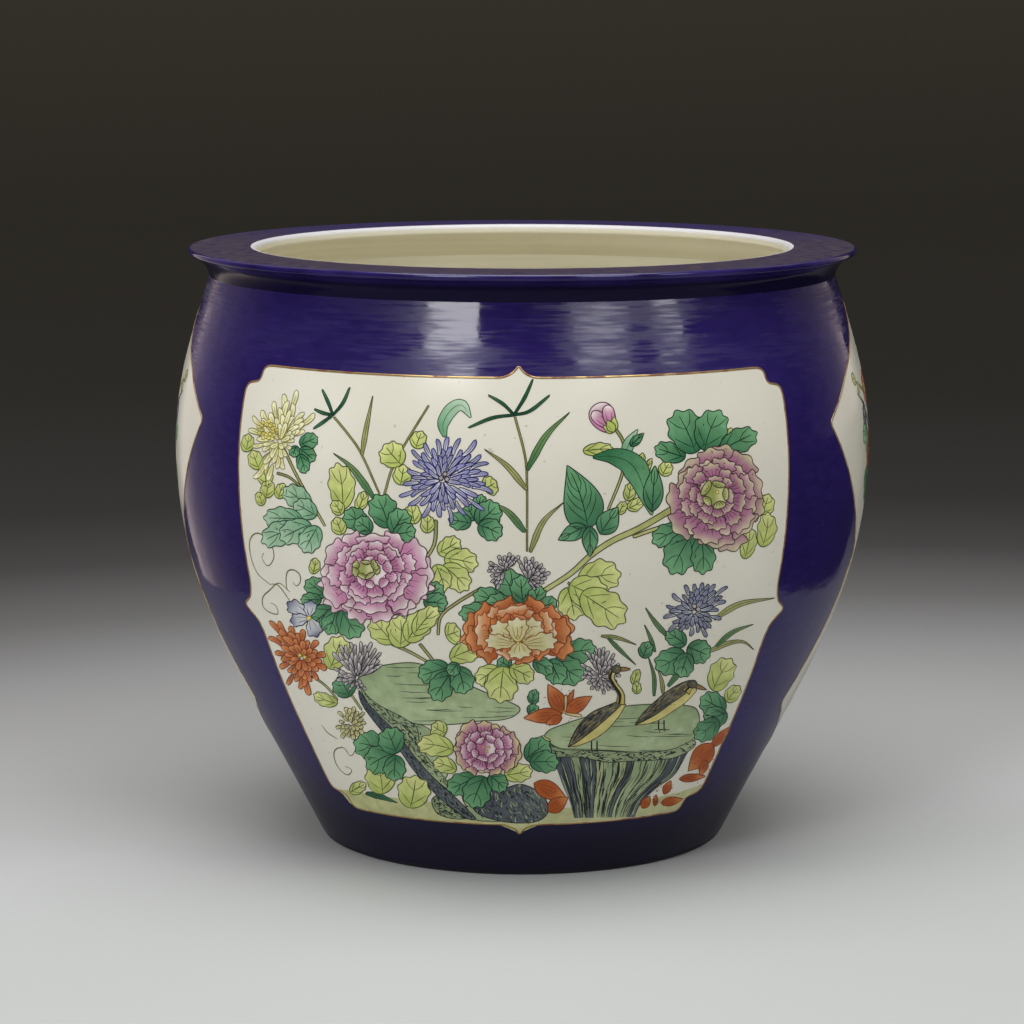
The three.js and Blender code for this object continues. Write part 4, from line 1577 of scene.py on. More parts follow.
LEFT_LEG_PALE = [(408, 724), (428, 728), (442, 748), (448, 772), (440, 780), (426, 762), (414, 742)]
LOW_ROCK = [
    (468, 792), (486, 786), (504, 788), (520, 784), (536, 790), (546, 800), (548, 812), (538, 821),
    (518, 823), (496, 820), (476, 812),
]
RIGHT_PLATE = [
    (545, 738), (548, 731), (556, 727), (579, 719), (603, 712), (626, 706), (660, 704), (690, 706),
    (698, 712), (699, 724), (694, 738), (682, 745), (668, 750), (636, 752), (605, 750), (580, 750),
    (559, 748),
]
CLIFF_RIM = [
    (545, 744), (559, 746), (579, 749), (607, 751), (636, 752), (668, 750), (692, 740), (694, 747),
    (676, 757), (654, 760), (630, 761), (607, 762), (579, 757), (550, 756),
]
CLIFF_LEFT = [(547, 748), (556, 767), (563, 786), (570, 802), (574, 818)]
CLIFF_RIGHT = [(695, 740), (686, 755), (674, 775), (655, 789), (641, 803), (634, 817)]
CLIFF_BANDS = [
    (0.0, 0.14, ROCK_DARK), (0.14, 0.2, ROCK_GREEN), (0.2, 0.32, ROCK_DARK), (0.32, 0.38, ROCK_LIME),
    (0.38, 0.5, ROCK_GREEN), (0.5, 0.56, ROCK_LIME), (0.56, 0.62, ROCK_DARK), (0.62, 0.8, ROCK_TOP),
    (0.8, 0.88, ROCK_GREEN), (0.88, 1.0, ROCK_DARK),
]
# A picture is a list of motifs, each with its strokes: a painter and the values that it takes
ROCKS = [
    ("ground", [(ground, GROUND, GROUND_WASH, GROUND_EDGE)]),
    ("left_rock", [
        (mottle, LEFT_FOOT_PALE, ROCK_TOP, 12, DARK_SPECKS, 50),
        (mottle, LEFT_FOOT, ROCK_GREEN, 150, DARK_SPECKS, 40),
        (mottle, LEFT_LEG_PALE, ROCK_TOP, 16, DARK_SPECKS, 50),
        (mottle, LEFT_LEG_GREEN, ROCK_GREEN, 260, DARK_SPECKS, 40),
        (mottle, LEFT_LEG_DARK, ROCK_DARK, 260, DARK_SPECKS, 50),
        (mottle, LOW_ROCK, ROCK_DARK, 300, BLACK_STREAKS, 60),
        (plate, LEFT_PLATE, ROCK_TOP, 17),
    ]),
    ("right_rock", [
        (cliff, CLIFF_LEFT, CLIFF_RIGHT, CLIFF_BANDS, 230, BLACK_STREAKS),
        (mottle, CLIFF_RIM, ROCK_GREEN, 190, DARK_SPECKS, 1),
        (plate, RIGHT_PLATE, ROCK_TOP, 15),
    ]),
]


# Grasses, branches and tendrils of the front reserve

CRABGRASS_WEST = (333, 415)
CRABGRASS_WEST_ARMS = [
    [(328, 402), (322, 389)], [(343, 403), (350, 387)], [(323, 413), (314, 409)], [(322, 423), (313, 429)],
]
CRABGRASS_EAST = (514, 415)
CRABGRASS_EAST_ARMS = [
    [(503, 404), (488, 395)], [(525, 397), (533, 379)], [(530, 411), (550, 395)], [(492, 418), (468, 428)],
]
GRASS_STEMS = [
    ([(334, 417), (348, 434), (361, 453), (380, 495)], 1.7),
    ([(384, 496), (392, 469), (405, 444), (429, 405)], 1.7),
    ([(515, 417), (525, 456), (527, 486), (527, 552)], 1.7),
]
OLIVE_BLADES = [
    ([(362, 455), (366, 430), (373, 395)], 5), ([(527, 490), (507, 466), (484, 449)], 6),
    ([(530, 552), (543, 522), (564, 502)], 6), ([(714, 619), (740, 604), (775, 598)], 6),
    ([(705, 653), (729, 643), (744, 642), (754, 650)], 5), ([(663, 694), (662, 682), (658, 669)], 4),
    ([(601, 636), (618, 638), (637, 645)], 4),
]
GREEN_BLADES = [
    ([(374, 498), (352, 468), (333, 453)], 7), ([(527, 470), (546, 436), (570, 412)], 7),
    ([(525, 532), (508, 512), (490, 502)], 7), ([(716, 646), (733, 632), (754, 624)], 5),
    ([(668, 686), (684, 668), (704, 656)], 6), ([(668, 637), (655, 622), (645, 607)], 5),
    ([(654, 696), (654, 676), (648, 656)], 4), ([(655, 652), (650, 637), (644, 624)], 4),
    ([(608, 638), (622, 652), (636, 665)], 4),
]
TWIGS = [
    ([(284, 449), (299, 480), (325, 526)], 2.6), ([(277, 473), (289, 477), (300, 486)], 2.2),
    ([(614, 427), (623, 441), (625, 458), (621, 478), (608, 510)], 2.8),
    ([(436, 520), (434, 545), (420, 566)], 3.4), ([(482, 588), (458, 602), (441, 616), (438, 635)], 3),
    ([(392, 644), (410, 652), (428, 662)], 2.6), ([(420, 644), (428, 654), (436, 664)], 2.6),
    ([(600, 610), (580, 600), (568, 582)], 2.6), ([(334, 640), (339, 668), (350, 692), (362, 710)], 2.2),
    ([(312, 676), (326, 686), (338, 700)], 2),
]
BRANCHES = [
    ([(674, 508), (640, 528), (612, 541), (590, 556), (570, 574), (542, 592)], 6),
    ([(673, 524), (652, 530), (633, 537)], 4),
]
TENDRILS = [
    [
        (264, 553), (262, 558), (268, 566), (274, 557), (270, 542), (258, 533), (250, 540), (251, 557),
        (258, 574), (271, 585),
    ],
    [(287, 590), (286, 579), (288, 571), (294, 570), (300, 575), (300, 583), (296, 586), (293, 582)],
    [
        (290, 592), (279, 583), (270, 590), (263, 597), (263, 606), (269, 612), (278, 614), (276, 606),
        (271, 603),
    ],
    [(271, 584), (279, 586), (292, 604)],
    [
        (357, 747), (351, 756), (344, 748), (336, 749), (334, 756), (338, 767), (347, 775), (352, 770),
        (345, 766),
    ],
    [(322, 725), (328, 733), (338, 739)],
]
GRASSES = [
    ("grasses", [
        (stems, STALK, GRASS_STEMS), (blades, OLIVE, OLIVE_BLADES), (blades, GRASS, GREEN_BLADES),
        (crabgrass, DEEP, CRABGRASS_WEST, CRABGRASS_WEST_ARMS),
        (crabgrass, DEEP, CRABGRASS_EAST, CRABGRASS_EAST_ARMS),
    ]),
    ("branches", [(stems, BRANCH, BRANCHES), (stems, OLIVE, TWIGS)]),
    ("tendrils", [(tendrils, VINE, TENDRILS)]),
]


# Leaves of the front reserve

FOLDED_LEAF_HALVES = (0.3, 1, 1.1, 0.9, 0.1)
BROAD_LEAF_HALVES = (0.1, 0.7, 1, 0.6, 0.1)
LEAVES = [
    ("upper_leaves", [
        (leaflets, LIME,
            (247, 443, 13, 18, 10), (256, 460, 15, 20, -20), (265, 476, 15, 20, -10), (268, 489, 14, 18, 10),
            (260, 499, 10, 14, -20), (281, 491, 12, 16, 20), (419, 440, 16, 18, 20), (393, 455, 26, 26, -40),
            (402, 475, 18, 20, 10), (413, 514, 16, 20, -10), (427, 524, 14, 18, 0), (490, 485, 20, 14, 60),
            (340, 487, 26, 46, -6), (361, 501, 12, 20, 20), (337, 508, 13, 16, -30), (339, 526, 15, 18, -20),
            (598, 450, 13, 30, 86), (641, 463, 9, 20, 10), (648, 468, 7, 20, 20), (666, 469, 14, 15, 30),
            (629, 492, 12, 18, 10), (635, 504, 12, 18, 60), (622, 508, 10, 14, 30), (730, 435, 10, 14, 10),
            (765, 505, 18, 22, 20), (765, 530, 19, 34, 10), (747, 543, 16, 32, 10)),
        (leaf, TEAL, (322, 519),
            (294, 496, 22), (304, 509, 20), (277, 518, 22), (275, 537, 24), (293, 533, 24), (310, 541, 22)),
        (leaf, GREEN, (297, 446), (309, 441, 16), (308, 455, 15), (295, 451, 11), (303, 466, 13)),
        (leaf, GREEN, (392, 534), (382, 510, 28), (399, 522, 24), (404, 532, 20)),
        (leaf, GREEN, (372, 532), (355, 519, 22), (364, 526, 18)),
        (leaf, GREEN, (476, 524),
            (480, 503, 15), (470, 512, 14), (459, 521, 18), (487, 514, 26), (490, 530, 22)),
        (blade, TEAL, [(445, 437), (443, 424), (451, 410), (462, 405), (471, 418)], 12, FOLDED_LEAF_HALVES),
    ]),
    ("bud_leaves", [
        (blade, TEAL, [(625, 455), (630, 441), (638, 429)], 12),
        (lobe, GREEN, 630 + 446j, 644 + 433j, 9, POINTED),
        (blade, GREEN, [(593, 457), (616, 457), (636, 470), (652, 515)], 26, BROAD_LEAF_HALVES),
        (lobe, GREEN, 652 + 512j, 655 + 465j, 20, POINTED),
        (lobe, GREEN, 588 + 530j, 567 + 465j, 40, BROAD_POINTED, 0.05, 4),
        (lobe, GREEN, 600 + 534j, 618 + 507j, 22, POINTED),
        (lobe, GREEN, 586 + 526j, 558 + 540j, 17, POINTED),
        (lobe, GREEN, 590 + 526j, 590 + 557j, 16, POINTED),
    ]),
    ("mauve_leaves", [
        (leaf, GREEN, (700, 462), (666, 451, 20), (685, 430, 36), (713, 428, 32), (744, 439, 24)),
        (leaf, GREEN, (700, 520), (664, 537, 22), (680, 557, 32), (702, 560, 24)),
    ]),
    ("middle_leaves", [
        (leaf, LIME, (433, 556), (450, 546, 20), (464, 562, 24), (458, 580, 24), (441, 580, 20)),
        (leaf, GREEN, (420, 600), (433, 592, 20), (436, 602, 20)),
        (leaf, LIME, (400, 650), (381, 629, 24), (400, 632, 28), (420, 625, 26), (430, 616, 20)),
        (leaf, GREEN, (330, 600), (315, 588, 20), (309, 600, 14)),
        (leaf, GREEN, (338, 604), (320, 618, 24), (332, 622, 22), (351, 624, 26)),
        (leaf, GREEN, (524, 610),
            (509, 586, 30), (522, 588, 22), (486, 598, 22), (497, 604, 20), (471, 613, 20)),
        (leaf, GREEN, (530, 612), (537, 596, 18), (548, 604, 16)),
        (leaf, LIME, (566, 583), (571, 604, 28), (602, 577, 32), (588, 592, 34), (607, 610, 36)),
        (leaflets, LIME,
            (314, 566, 11, 16, 10), (336, 653, 26, 34, 20), (453, 633, 22, 15, 70), (466, 653, 22, 34, 70)),
        (leaf, GREEN, (548, 655), (582, 650, 24), (570, 670, 28), (556, 672, 22)),
        (leaflets, GREEN, (504, 664, 17, 14, -60), (543, 667, 16, 22, 120), (646, 650, 14, 17, 20)),
        (leaf, LIME, (504, 664), (486, 676, 20), (502, 684, 32), (523, 674, 20)),
    ]),
    ("lower_leaves", [
        (leaf, GREEN, (457, 664), (432, 672, 24), (441, 688, 24), (461, 680, 24), (454, 668, 14)),
        (leaflets, LIME, (326, 699, 13, 25, -70)),
        (blade, DEEP, [(366, 793), (382, 797), (398, 803)], 6),
        (leaflets, GREEN, (344, 687, 24, 22, -30), (534, 697, 11, 15, 10), (533, 710, 12, 12, 60)),
        (leaf, GREEN, (690, 648), (675, 638, 18), (697, 651, 24), (669, 661, 26), (684, 666, 20)),
        (leaf, GREEN, (728, 712), (713, 704, 24), (716, 718, 22), (704, 731, 20)),
        (leaflets, LIME,
            (636, 677, 9, 16, 20), (637, 688, 9, 12, 0), (722, 675, 24, 36, 30), (733, 694, 14, 20, 40),
            (439, 729, 18, 16, -60), (436, 747, 22, 36, -80), (445, 766, 16, 24, -70),
            (518, 773, 18, 28, 80), (541, 745, 18, 20, 60), (380, 778, 30, 32, -10), (413, 792, 32, 32, 10),
            (358, 788, 12, 18, 60)),
        (leaf, GREEN, (396, 752), (370, 746, 28), (381, 760, 28), (392, 742, 26), (395, 768, 22)),
        (leaf, GREEN, (486, 772), (459, 784, 22), (478, 792, 28), (498, 783, 18)),
        (leaf, GREEN, (522, 762), (538, 750, 24), (546, 762, 22)),
    ]),
]


# Flowers and birds of the front reserve

YELLOW_TIPS = [
    (298, 387), (284, 393), (274, 400), (294, 402), (304, 413), (315, 413), (304, 431), (292, 449),
    (284, 471), (268, 480), (253, 479), (251, 414), (261, 408), (249, 430), (263, 462), (252, 446),
    (306, 422),
]
BLUE_TIPS = [
    (411, 449), (424, 442), (437, 440), (448, 437), (460, 439), (475, 441), (482, 454), (490, 463),
    (489, 474), (486, 484), (493, 493), (485, 511), (465, 514), (451, 523), (440, 519), (422, 518),
    (406, 507), (400, 496), (404, 484), (405, 470), (412, 460),
]
NIGHT_TIPS = [
    (703, 581), (694, 583), (685, 585), (673, 594), (664, 605), (663, 618), (668, 633), (678, 632),
    (690, 638), (707, 638), (711, 628), (721, 619), (728, 601), (730, 585), (716, 583), (710, 582),
]
RUST_TIPS = [
    (268, 619), (279, 621), (290, 625), (303, 629), (318, 641), (326, 655), (327, 670), (318, 680),
    (310, 697), (300, 690), (288, 684), (279, 668), (273, 652), (269, 638),
]
ASH_LEFT_TIPS = [(486, 571), (489, 562), (498, 555), (510, 551), (519, 556), (490, 583), (497, 589)]
ASH_RIGHT_TIPS = [(517, 558), (525, 556), (533, 557), (543, 563), (551, 572), (545, 583), (536, 590)]
ASH_LOW_TIPS = [
    (333, 652), (340, 644), (350, 641), (361, 640), (372, 641), (383, 650), (384, 664), (366, 690),
    (350, 690), (337, 680), (334, 667),
]
ASH_EAST_TIPS = [
    (586, 652), (595, 647), (604, 646), (615, 652), (620, 663), (622, 676), (616, 690), (604, 695),
    (590, 690), (581, 678), (580, 664),
]
STRAW_TIPS = [
    (338, 712), (345, 707), (354, 706), (364, 712), (367, 723), (364, 734), (354, 741), (342, 738),
    (336, 728),
]
QUAIL_WEST_BACK = [(568, 747), (575, 731), (584, 719), (594, 711), (606, 706), (616, 702)]
QUAIL_WEST_BELLY = [(568, 747), (580, 745), (594, 739), (607, 730), (619, 716), (626, 704)]
QUAIL_WEST_NECK = [(620, 704), (621, 694), (615, 685), (611, 677), (614, 669)]
QUAIL_EAST_BACK = [(635, 725), (642, 714), (652, 704), (666, 692), (679, 684), (690, 680)]
QUAIL_EAST_BELLY = [(635, 725), (646, 724), (659, 720), (673, 711), (686, 702), (697, 690)]
QUAIL_EAST_NECK = [(686, 692), (689, 688), (692, 684)]
FLOWERS = [
    ("yellow_chrysanthemum", [
        (chrysanthemum, YELLOW, (280, 442), YELLOW_TIPS, 6),
        (even_chrysanthemum, YOLK, (268, 430), 12, 9, 4.6, (1.0, 0.72)),
    ]),
    ("blue_chrysanthemum", [
        (chrysanthemum, INDIGO, (442, 480), BLUE_TIPS, 5.4),
        (dabs, ASH, 5, (445, 474), (441, 478), (447, 479)),
    ]),
    ("night_chrysanthemum", [
        (chrysanthemum, SLATE, (694, 612), NIGHT_TIPS, 5),
        (dabs, ASH, 5, (694, 606), (698, 609)),
    ]),
    ("rust_chrysanthemum", [
        (chrysanthemum, RUST, (302, 658), RUST_TIPS, 7),
        (dabs, YOLK, 4, (300, 655), (305, 657)),
    ]),
    ("ash_chrysanthemums", [
        (chrysanthemum, ASH, (505, 571), ASH_LEFT_TIPS, 4.4, DENSE_REACHES),
        (chrysanthemum, ASH, (528, 580), ASH_RIGHT_TIPS, 4.4, DENSE_REACHES),
        (chrysanthemum, ASH, (357, 678), ASH_LOW_TIPS, 4.4, DENSE_REACHES),
        (chrysanthemum, ASH, (600, 676), ASH_EAST_TIPS, 4.4, DENSE_REACHES),
        (chrysanthemum, STRAW, (351, 724), STRAW_TIPS, 5, (1.0, 0.9, 0.66, 0.5)),
    ]),
    ("blue_bell", [
        (petals, SLATE, WAVY_PETAL, 2,
            (309, 616, 288, 603, 13), (309, 617, 311, 601, 12), (309, 618, 291, 621, 12),
            (310, 618, 317, 636, 14)),
        (dabs, YOLK, 5, (309, 618)),
    ]),
    ("mauve_peony", [
        (rosette, MAUVE, (716, 497), (47, 55),
            (1.0, 13, 27, WAVY_PETAL, MAUVE), (0.8, 12, 22, RUFFLE, MAUVE_INNER),
            (0.6, 10, 18, RUFFLE, MAUVE), (0.42, 8, 14, RUFFLE, MAUVE_INNER)),
        (rosette, MAUVE_HEART, (716, 494), (14, 15), (1.0, 5, 14, PETAL_SCALE, MAUVE_HEART)),
        (dabs, YOLK, 4, (717, 492)),
    ]),
    ("pink_peony", [
        (petals, PINK_DEEP, RUFFLE, 3,
            (372, 590, 326, 602, 26), (372, 592, 350, 617, 30), (378, 592, 388, 620, 32),
            (382, 590, 414, 606, 28), (380, 580, 432, 588, 26), (366, 580, 320, 584, 24)),
        (rosette, PINK_DEEP, (374, 572), (55, 42),
            (1.0, 12, 27, WAVY_PETAL, PINK), (0.8, 11, 23, RUFFLE, PINK), (0.6, 10, 18, RUFFLE, PINK_DEEP),
            (0.42, 9, 12, RUFFLE, PINK)),
        (rosette, MAUVE_HEART, (366, 569), (14, 9), (1.0, 7, 10, RUFFLE, MAUVE_HEART)),
    ]),
    ("orange_peony", [
        (petals, ORANGE, WAVY_PETAL, 3,
            (500, 632, 462, 640, 22), (540, 630, 573, 628, 24), (540, 640, 572, 650, 22),
            (500, 640, 478, 655, 20)),
        (rosette, ORANGE, (517, 631), (53, 31),
            (1.0, 13, 24, WAVY_PETAL, ORANGE), (0.78, 10, 26, RUFFLE, PALE_ORANGE),
            (0.56, 8, 20, RUFFLE, ORANGE)),
        (petals, CREAM, RUFFLE, 3,
            (517, 640, 492, 626, 18), (519, 640, 540, 622, 20), (518, 642, 517, 618, 20),
            (516, 644, 486, 640, 14), (522, 644, 556, 640, 17), (519, 642, 520, 658, 22)),
        (dabs, YOLK, 3.5, (512, 640), (518, 637), (524, 640), (518, 643)),
    ]),
    ("low_peony", [
        (rosette, PINK_DEEP, (486, 749), (37, 27),
            (1.0, 13, 17, WAVY_PETAL, LOW_PETAL), (0.74, 11, 14, RUFFLE, PINK_DEEP),
            (0.5, 8, 11, RUFFLE, PINK)),
        (dabs, YOLK, 3, (483, 747), (489, 747), (486, 751)),
    ]),
    ("orange_lily", [
        (petals, ORANGE, POINTED, 3,
            (564, 713, 548, 684, 17), (562, 714, 523, 718, 15), (564, 712, 574, 689, 7),
            (566, 712, 592, 696, 14), (562, 717, 545, 724, 9)),
        (petals, CREAM, STRAP, 1, (565, 713, 582, 716, 4), (565, 712, 566, 694, 4)),
        (dabs, YOLK, 3, (564, 712)),
    ]),
    ("orange_leaves", [
        (petals, ORANGE, POINTED, 3,
            (711, 747, 731, 726, 9), (713, 744, 688, 771, 20), (706, 760, 700, 776, 9),
            (679, 779, 706, 776, 8), (664, 794, 671, 780, 8), (642, 808, 650, 796, 9),
            (655, 806, 656, 794, 5), (661, 803, 683, 799, 9), (534, 783, 567, 799, 18),
            (548, 811, 568, 797, 15)),
        (fringe, ORANGE, (703, 766), (12, 20), 26), (fringe, ORANGE, (665, 794), (14, 12), 30),
        (fringe, ORANGE, (562, 708), (26, 20), 26), (fringe, ORANGE, (552, 797), (10, 10), 12),
    ]),
    ("pink_bud", [
        (petals, PINK, PETAL_SCALE, 2,
            (611, 432, 596, 404, 25), (610, 428, 592, 412, 12), (611, 428, 607, 405, 12)),
        (petals, LIME, POINTED, 1,
            (614, 432, 603, 426, 8), (614, 432, 614, 416, 8), (614, 432, 607, 420, 9)),
    ]),
    ("quails", [
        (quail, QUAIL_WEST_BACK, QUAIL_WEST_BELLY, QUAIL_WEST_NECK, 616 + 669j, 631 + 669j, 594 + 751j),
        (quail, QUAIL_EAST_BACK, QUAIL_EAST_BELLY, QUAIL_EAST_NECK, 692 + 684j, 707 + 690j, 661 + 730j),
    ]),
]
FRONT_PICTURE = ROCKS + GRASSES + LEAVES + FLOWERS


# A side field: a spray of small flowers in its middle, and grasses at its foot

SPRAY_STEMS = [
    ([(508, 562), (500, 530), (482, 504), (470, 470), (474, 432)], 3),
    ([(500, 532), (520, 500), (546, 478), (560, 446)], 3), ([(482, 504), (462, 478), (440, 452)], 3),
    ([(474, 440), (446, 424), (410, 410)], 3), ([(520, 500), (524, 460), (518, 400)], 3),
]
SPRAY_BLADES = [
    ([(470, 470), (440, 440), (412, 424)], 5), ([(524, 462), (545, 420), (566, 396)], 5),
    ([(508, 562), (540, 545), (566, 520)], 6), ([(504, 560), (478, 552), (452, 530)], 6),
]
LOW_BLADES = [
    ([(508, 742), (500, 712), (486, 690)], 6), ([(508, 742), (514, 706), (528, 680)], 6),
    ([(508, 742), (524, 724), (546, 716)], 5), ([(508, 742), (490, 730), (470, 724)], 5),
    ([(508, 742), (506, 700), (508, 668)], 5),
]
SIDE_PICTURE = [
    ("spray_leaves", [
        (stems, OLIVE, SPRAY_STEMS), (blades, GRASS, SPRAY_BLADES + LOW_BLADES),
        (leaf, GREEN, (472, 520), (448, 520, 24), (456, 534, 22), (470, 542, 20)),
        (leaf, GREEN, (512, 520), (534, 526, 24), (530, 542, 22), (540, 508, 20)),
        (leaf, TEAL, (452, 462), (432, 470, 22), (446, 482, 20)),
        (leaf, TEAL, (538, 484), (562, 486, 22), (556, 470, 20)),
        (leaf, LIME, (476, 440), (492, 446, 20), (496, 430, 18)),
        (leaf, LIME, (520, 408), (536, 398, 18), (506, 392, 16)),
        (leaflets, LIME,
            (410, 408, 12, 16, -50), (424, 420, 10, 14, 20), (488, 560, 16, 20, -60),
            (528, 562, 16, 20, 60)),
        (leaf, GREEN, (508, 742), (486, 752, 22), (528, 752, 22), (508, 760, 20)),
    ]),
    ("spray_flowers", [
        (even_chrysanthemum, RUST, (470, 494), 26, 15, 7, FLOWER_REACHES),
        (dabs, YOLK, 4, (468, 493), (473, 495)),
        (even_chrysanthemum, SLATE, (440, 450), 15, 12, 5, (1.0, 0.7)),
        (dabs, YOLK, 4, (440, 450)),
        (rosette, YOLK, (472, 426), (19, 17),
            (1.0, 9, 15, WAVY_PETAL, ORANGE), (0.7, 7, 12, RUFFLE, PALE_ORANGE)),
        (rosette, PINK_DEEP, (556, 442), (22, 20),
            (1.0, 10, 15, WAVY_PETAL, PINK), (0.7, 8, 12, RUFFLE, PINK_DEEP), (0.45, 5, 9, RUFFLE, PINK)),
        (even_chrysanthemum, YELLOW, (518, 396), 15, 12, 5, (1.0, 0.7)),
        (dabs, YOLK, 3.5, (518, 396), (472, 426), (556, 442)),
    ]),
]


def enamel_finish():
    """Glossy enamel in the colours that the painting gives its points."""
    finish = Finish("overglaze_enamel", ENAMEL, roughness=0.2, IOR=GLAZE_IOR)
    colour = finish.add("ShaderNodeAttribute", attribute_name="enamel").outputs["Color"]
    finish.colour(finish.mix(1.0, colour, finish.cloud(ENAMEL_DRIFT, *ENAMEL_WASH), "MULTIPLY"))
    finish.roughness(finish.cloud(ENAMEL_PATCHES, *ENAMEL_GLOSS))
    waves, pits = finish.noise(*FIELD_WAVES), finish.noise(*ENAMEL_PITS)
    finish.bump((waves, FIELD_WAVE_DEPTH), (pits, ENAMEL_PIT_DEPTH))
    return finish.material


def build_paintings():
    """The front's picture, mirrored at the back, and the spray on both sides."""
    enamel = enamel_finish()
    fields = [
        ("front", 0, False, FRONT_PICTURE), ("back", 180, True, FRONT_PICTURE),
        ("right", 90, False, SIDE_PICTURE), ("left", -90, True, SIDE_PICTURE),
    ]
    for place, turn, mirrored, picture in fields:
        canvas = Canvas(place, turn, mirrored)
        for motif, strokes in picture:
            canvas.motif(motif)
            for paint, *values in strokes:
                paint(canvas, *values)
        canvas.lay(enamel)


# Stage, light and camera

CAMERA_REACH = 100

# The floor, as radius and height in metres, and its tones, a painted pool of light, by the distance from the
# spot that is lit best
FLOOR_SWEEP = [(2.5, 0), (3.6, 0.15), (4.4, 0.7), (4.8, 1.6), (5.0, 3.0), (5.0, 5.0)]
FLOOR_STEPS = 96
FLOOR_LIGHT_CENTRE = (0.26, -0.6)
FLOOR_LIGHT_POOL_TONES = [
    (0.3, (186, 189, 187)), (0.49, (186, 189, 188)), (0.73, (188, 190, 190)), (1.05, (167, 168, 168)),
    (1.25, (149, 149, 150)), (1.48, (110, 110, 110)), (1.75, (74, 73, 73)), (2.07, (58, 57, 56)),
    (2.8, (60, 58, 55)), (4.2, (68, 65, 58)), (5.2, (92, 87, 75)),
]
FLOOR_IN_GLAZE = (186, 186, 188)
FLOOR_SHINE = 0.2

# Glowing cards beside the bowl, painted reflections that show only in its glaze: place across, reach in
# depth and reach in height in metres, tone and strength
CARD_GROUND = (6, 6, 6)
CARD_GLOW_TONE = (236, 216, 206)
CARDS = [
    ("left_glow_card", -0.52, (-0.2, 0.5), (0.0, 0.64), CARD_GLOW_TONE, 1.0),
    ("right_glow_card", 0.52, (-0.12, 0.5), (0.26, 0.68), CARD_GLOW_TONE, 0.85),
    ("right_dark_glow_card", 0.52, (-0.15, 0.5), (0.0, 0.26), (30, 26, 26), 0.1),
]
# Places along a card from its near end, and the share of its tone there
CARD_FADE = [(0.15, 0), (0.62, 0.62), (1.0, 1)]

# Lamps: direction from the front towards the right and rise in degrees, distance and size in metres, power,
# tint, and whether the glaze shows them
WHITE = (1, 1, 1)
WALL_TINT = (1, 0.86, 0.8)
LAMPS = [
    ("overhead", 0, 80, 2.3, (2.4, 1.9), 61, WHITE, True),
    ("left_lamp", -23, 29, 3.0, (0.8, 0.88), 20, WHITE, True),
    ("right_lamp", 31, 29, 3.0, (0.86, 0.88), 13, WHITE, True),
    ("far_right_lamp", 56, 28, 3.0, (0.4, 0.8), 6, WHITE, True),
    ("back_right_lamp", 118, 30, 3.0, (0.3, 0.6), 2, WHITE, True),
    ("left_fill", -66, 4, 3.0, (1.4, 1.4), 34, WHITE, False),
    ("right_fill", 66, 4, 3.0, (1.4, 1.4), 10, WHITE, False),
    ("left_wall", -125, 35, 3.0, (2.0, 2.0), 7, WALL_TINT, True),
    ("right_wall", 125, 35, 3.0, (1.8, 1.4), 5, WALL_TINT, True),
]
WORLD_COLOUR = (0.5, 0.48, 0.46, 1)
WORLD_STRENGTH = 0.35


def build_camera():
    data = bpy.data.cameras.new("camera")
    data.sensor_width = SENSOR_WIDTH
    data.lens = FOCAL_PIXELS * SENSOR_WIDTH / PICTURE_PIXELS
    data.clip_end = CAMERA_REACH
    camera = bpy.data.objects.new("camera", data)
    orbit = math.radians(CAMERA_ORBIT)
    right = Vector((math.cos(orbit), math.sin(orbit), 0))
    back = Vector((math.sin(orbit), -math.cos(orbit), 0))
    camera.location = right * CAMERA_SIDE + back * CAMERA_DISTANCE + Vector((0, 0, CAMERA_HEIGHT))
    camera.rotation_euler = (math.radians(90 - CAMERA_PITCH), 0, orbit)
    bpy.context.scene.collection.objects.link(camera)
    bpy.context.scene.camera = camera


def floor_finish():
    """A painted pool of light, pale near the lit spot and dark far from it, and of an even tone where the
    glaze mirrors it.
    """
    finish = Finish("studio_floor", FLOOR_LIGHT_POOL_TONES[0][1], roughness=0.7)
    finish.shader.inputs["Specular IOR Level"].default_value = FLOOR_SHINE
    place = finish.add("ShaderNodeTexCoord")
    offset = finish.add("ShaderNodeVectorMath", operation="SUBTRACT")
    offset.inputs[1].default_value = (*FLOOR_LIGHT_CENTRE, 0)
    finish.link(place.outputs["Object"], offset.inputs[0])
    length = finish.add("ShaderNodeVectorMath", operation="LENGTH")
    finish.link(offset.outputs["Vector"], length.inputs[0])
    # Painted pool of light: the floor's tone falls off with distance from the lit spot
    farthest = FLOOR_LIGHT_POOL_TONES[-1][0]
    reach = finish.add("ShaderNodeMapRange")
    reach.inputs["From Max"].default_value = farthest
    finish.link(length.outputs["Value"], reach.inputs["Value"])
    stops = [(distance / farthest, tone) for distance, tone in FLOOR_LIGHT_POOL_TONES]
    seen = finish.ramp(reach.outputs["Result"], *stops)
    mirrored = finish.add("ShaderNodeLightPath").outputs["Is Glossy Ray"]
    finish.colour(finish.mix(mirrored, seen, finish.mix(1.0, seen, FLOOR_IN_GLAZE, "MULTIPLY")))
    return finish.material


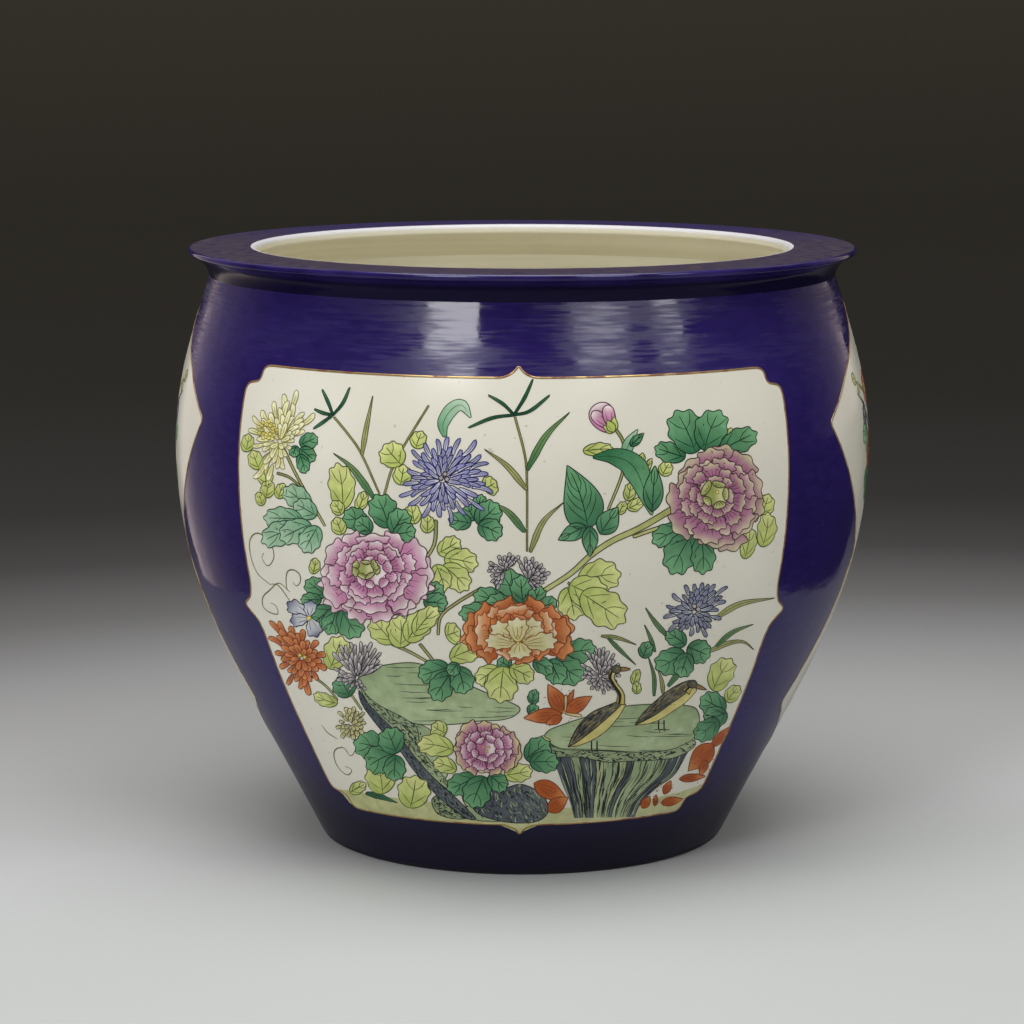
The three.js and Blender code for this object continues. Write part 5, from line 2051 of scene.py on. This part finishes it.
def build_floor():
    """A floor, pale where its painted pool of light lies, that runs up into a dark surround."""
    angle = np.linspace(0, 2 * math.pi, FLOOR_STEPS, endpoint=False)
    vertices, faces = [(0, 0, 0)], []
    for radius, height in FLOOR_SWEEP:
        rise = [height / MM] * FLOOR_STEPS
        vertices.extend(zip(radius * np.sin(angle) / MM, -radius * np.cos(angle) / MM, rise))
    for i in range(FLOOR_STEPS):
        k = (i + 1) % FLOOR_STEPS
        faces.append([0, 1 + i, 1 + k])
        for ring in range(len(FLOOR_SWEEP) - 1):
            low, high = 1 + ring * FLOOR_STEPS, 1 + (ring + 1) * FLOOR_STEPS
            faces.append([low + i, high + i, high + k, low + k])
    new_object("floor", vertices, faces, floor_finish())


def build_card(name, across, depth, rise, tone, strength):
    """A glowing card that only reflections see, a painted reflection, brightest at its far end."""
    finish = Finish(name, CARD_GROUND, roughness=1.0)
    place = finish.add("ShaderNodeSeparateXYZ")
    finish.link(finish.add("ShaderNodeTexCoord").outputs["Object"], place.inputs["Vector"])
    reach = finish.add("ShaderNodeMapRange")
    reach.inputs["From Min"].default_value, reach.inputs["From Max"].default_value = depth
    finish.link(place.outputs["Y"], reach.inputs["Value"])
    stops = [(at, tuple(share * value for value in tone)) for at, share in CARD_FADE]
    # Painted reflection: the card glows, and only the glaze shows it
    finish.link(finish.ramp(reach.outputs["Result"], *stops), finish.shader.inputs["Emission Color"])
    finish.shader.inputs["Emission Strength"].default_value = strength
    near, far = (end / MM for end in depth)
    low, high = (end / MM for end in rise)
    corners = [(across / MM, y, z) for y, z in ((near, low), (far, low), (far, high), (near, high))]
    card = new_object(name, corners, [[0, 1, 2, 3]], finish.material)
    card.visible_camera = card.visible_diffuse = card.visible_shadow = card.visible_transmission = False


def build_stage():
    build_floor()
    for card in CARDS:
        build_card(*card)


def build_lamp(name, azimuth, elevation, distance, size, power, tint, shown):
    """A soft lamp aimed at the bowl."""
    data = bpy.data.lights.new(name, "AREA")
    data.shape = "RECTANGLE"
    data.size, data.size_y = size
    data.energy = power
    data.color = tint
    light = bpy.data.objects.new(name, data)
    turn, rise = math.radians(azimuth), math.radians(elevation)
    direction = Vector((math.sin(turn) * math.cos(rise), -math.cos(turn) * math.cos(rise), math.sin(rise)))
    light.location = Vector((0, 0, NECK_HEIGHT * MM)) + direction * distance
    light.rotation_euler = (-direction).to_track_quat("-Z", "Y").to_euler()
    light.visible_camera = False
    light.visible_glossy = shown
    bpy.context.scene.collection.objects.link(light)


def build_lights():
    world = bpy.data.worlds.new("studio")
    world.use_nodes = True
    background = world.node_tree.nodes["Background"]
    background.inputs["Color"].default_value = WORLD_COLOUR
    background.inputs["Strength"].default_value = WORLD_STRENGTH
    bpy.context.scene.world = world
    for lamp in LAMPS:
        build_lamp(*lamp)


build_camera()
build_stage()
build_lights()
build_body()
build_fields()
build_paintings()

bpy.context.scene.view_settings.view_transform = "Standard"
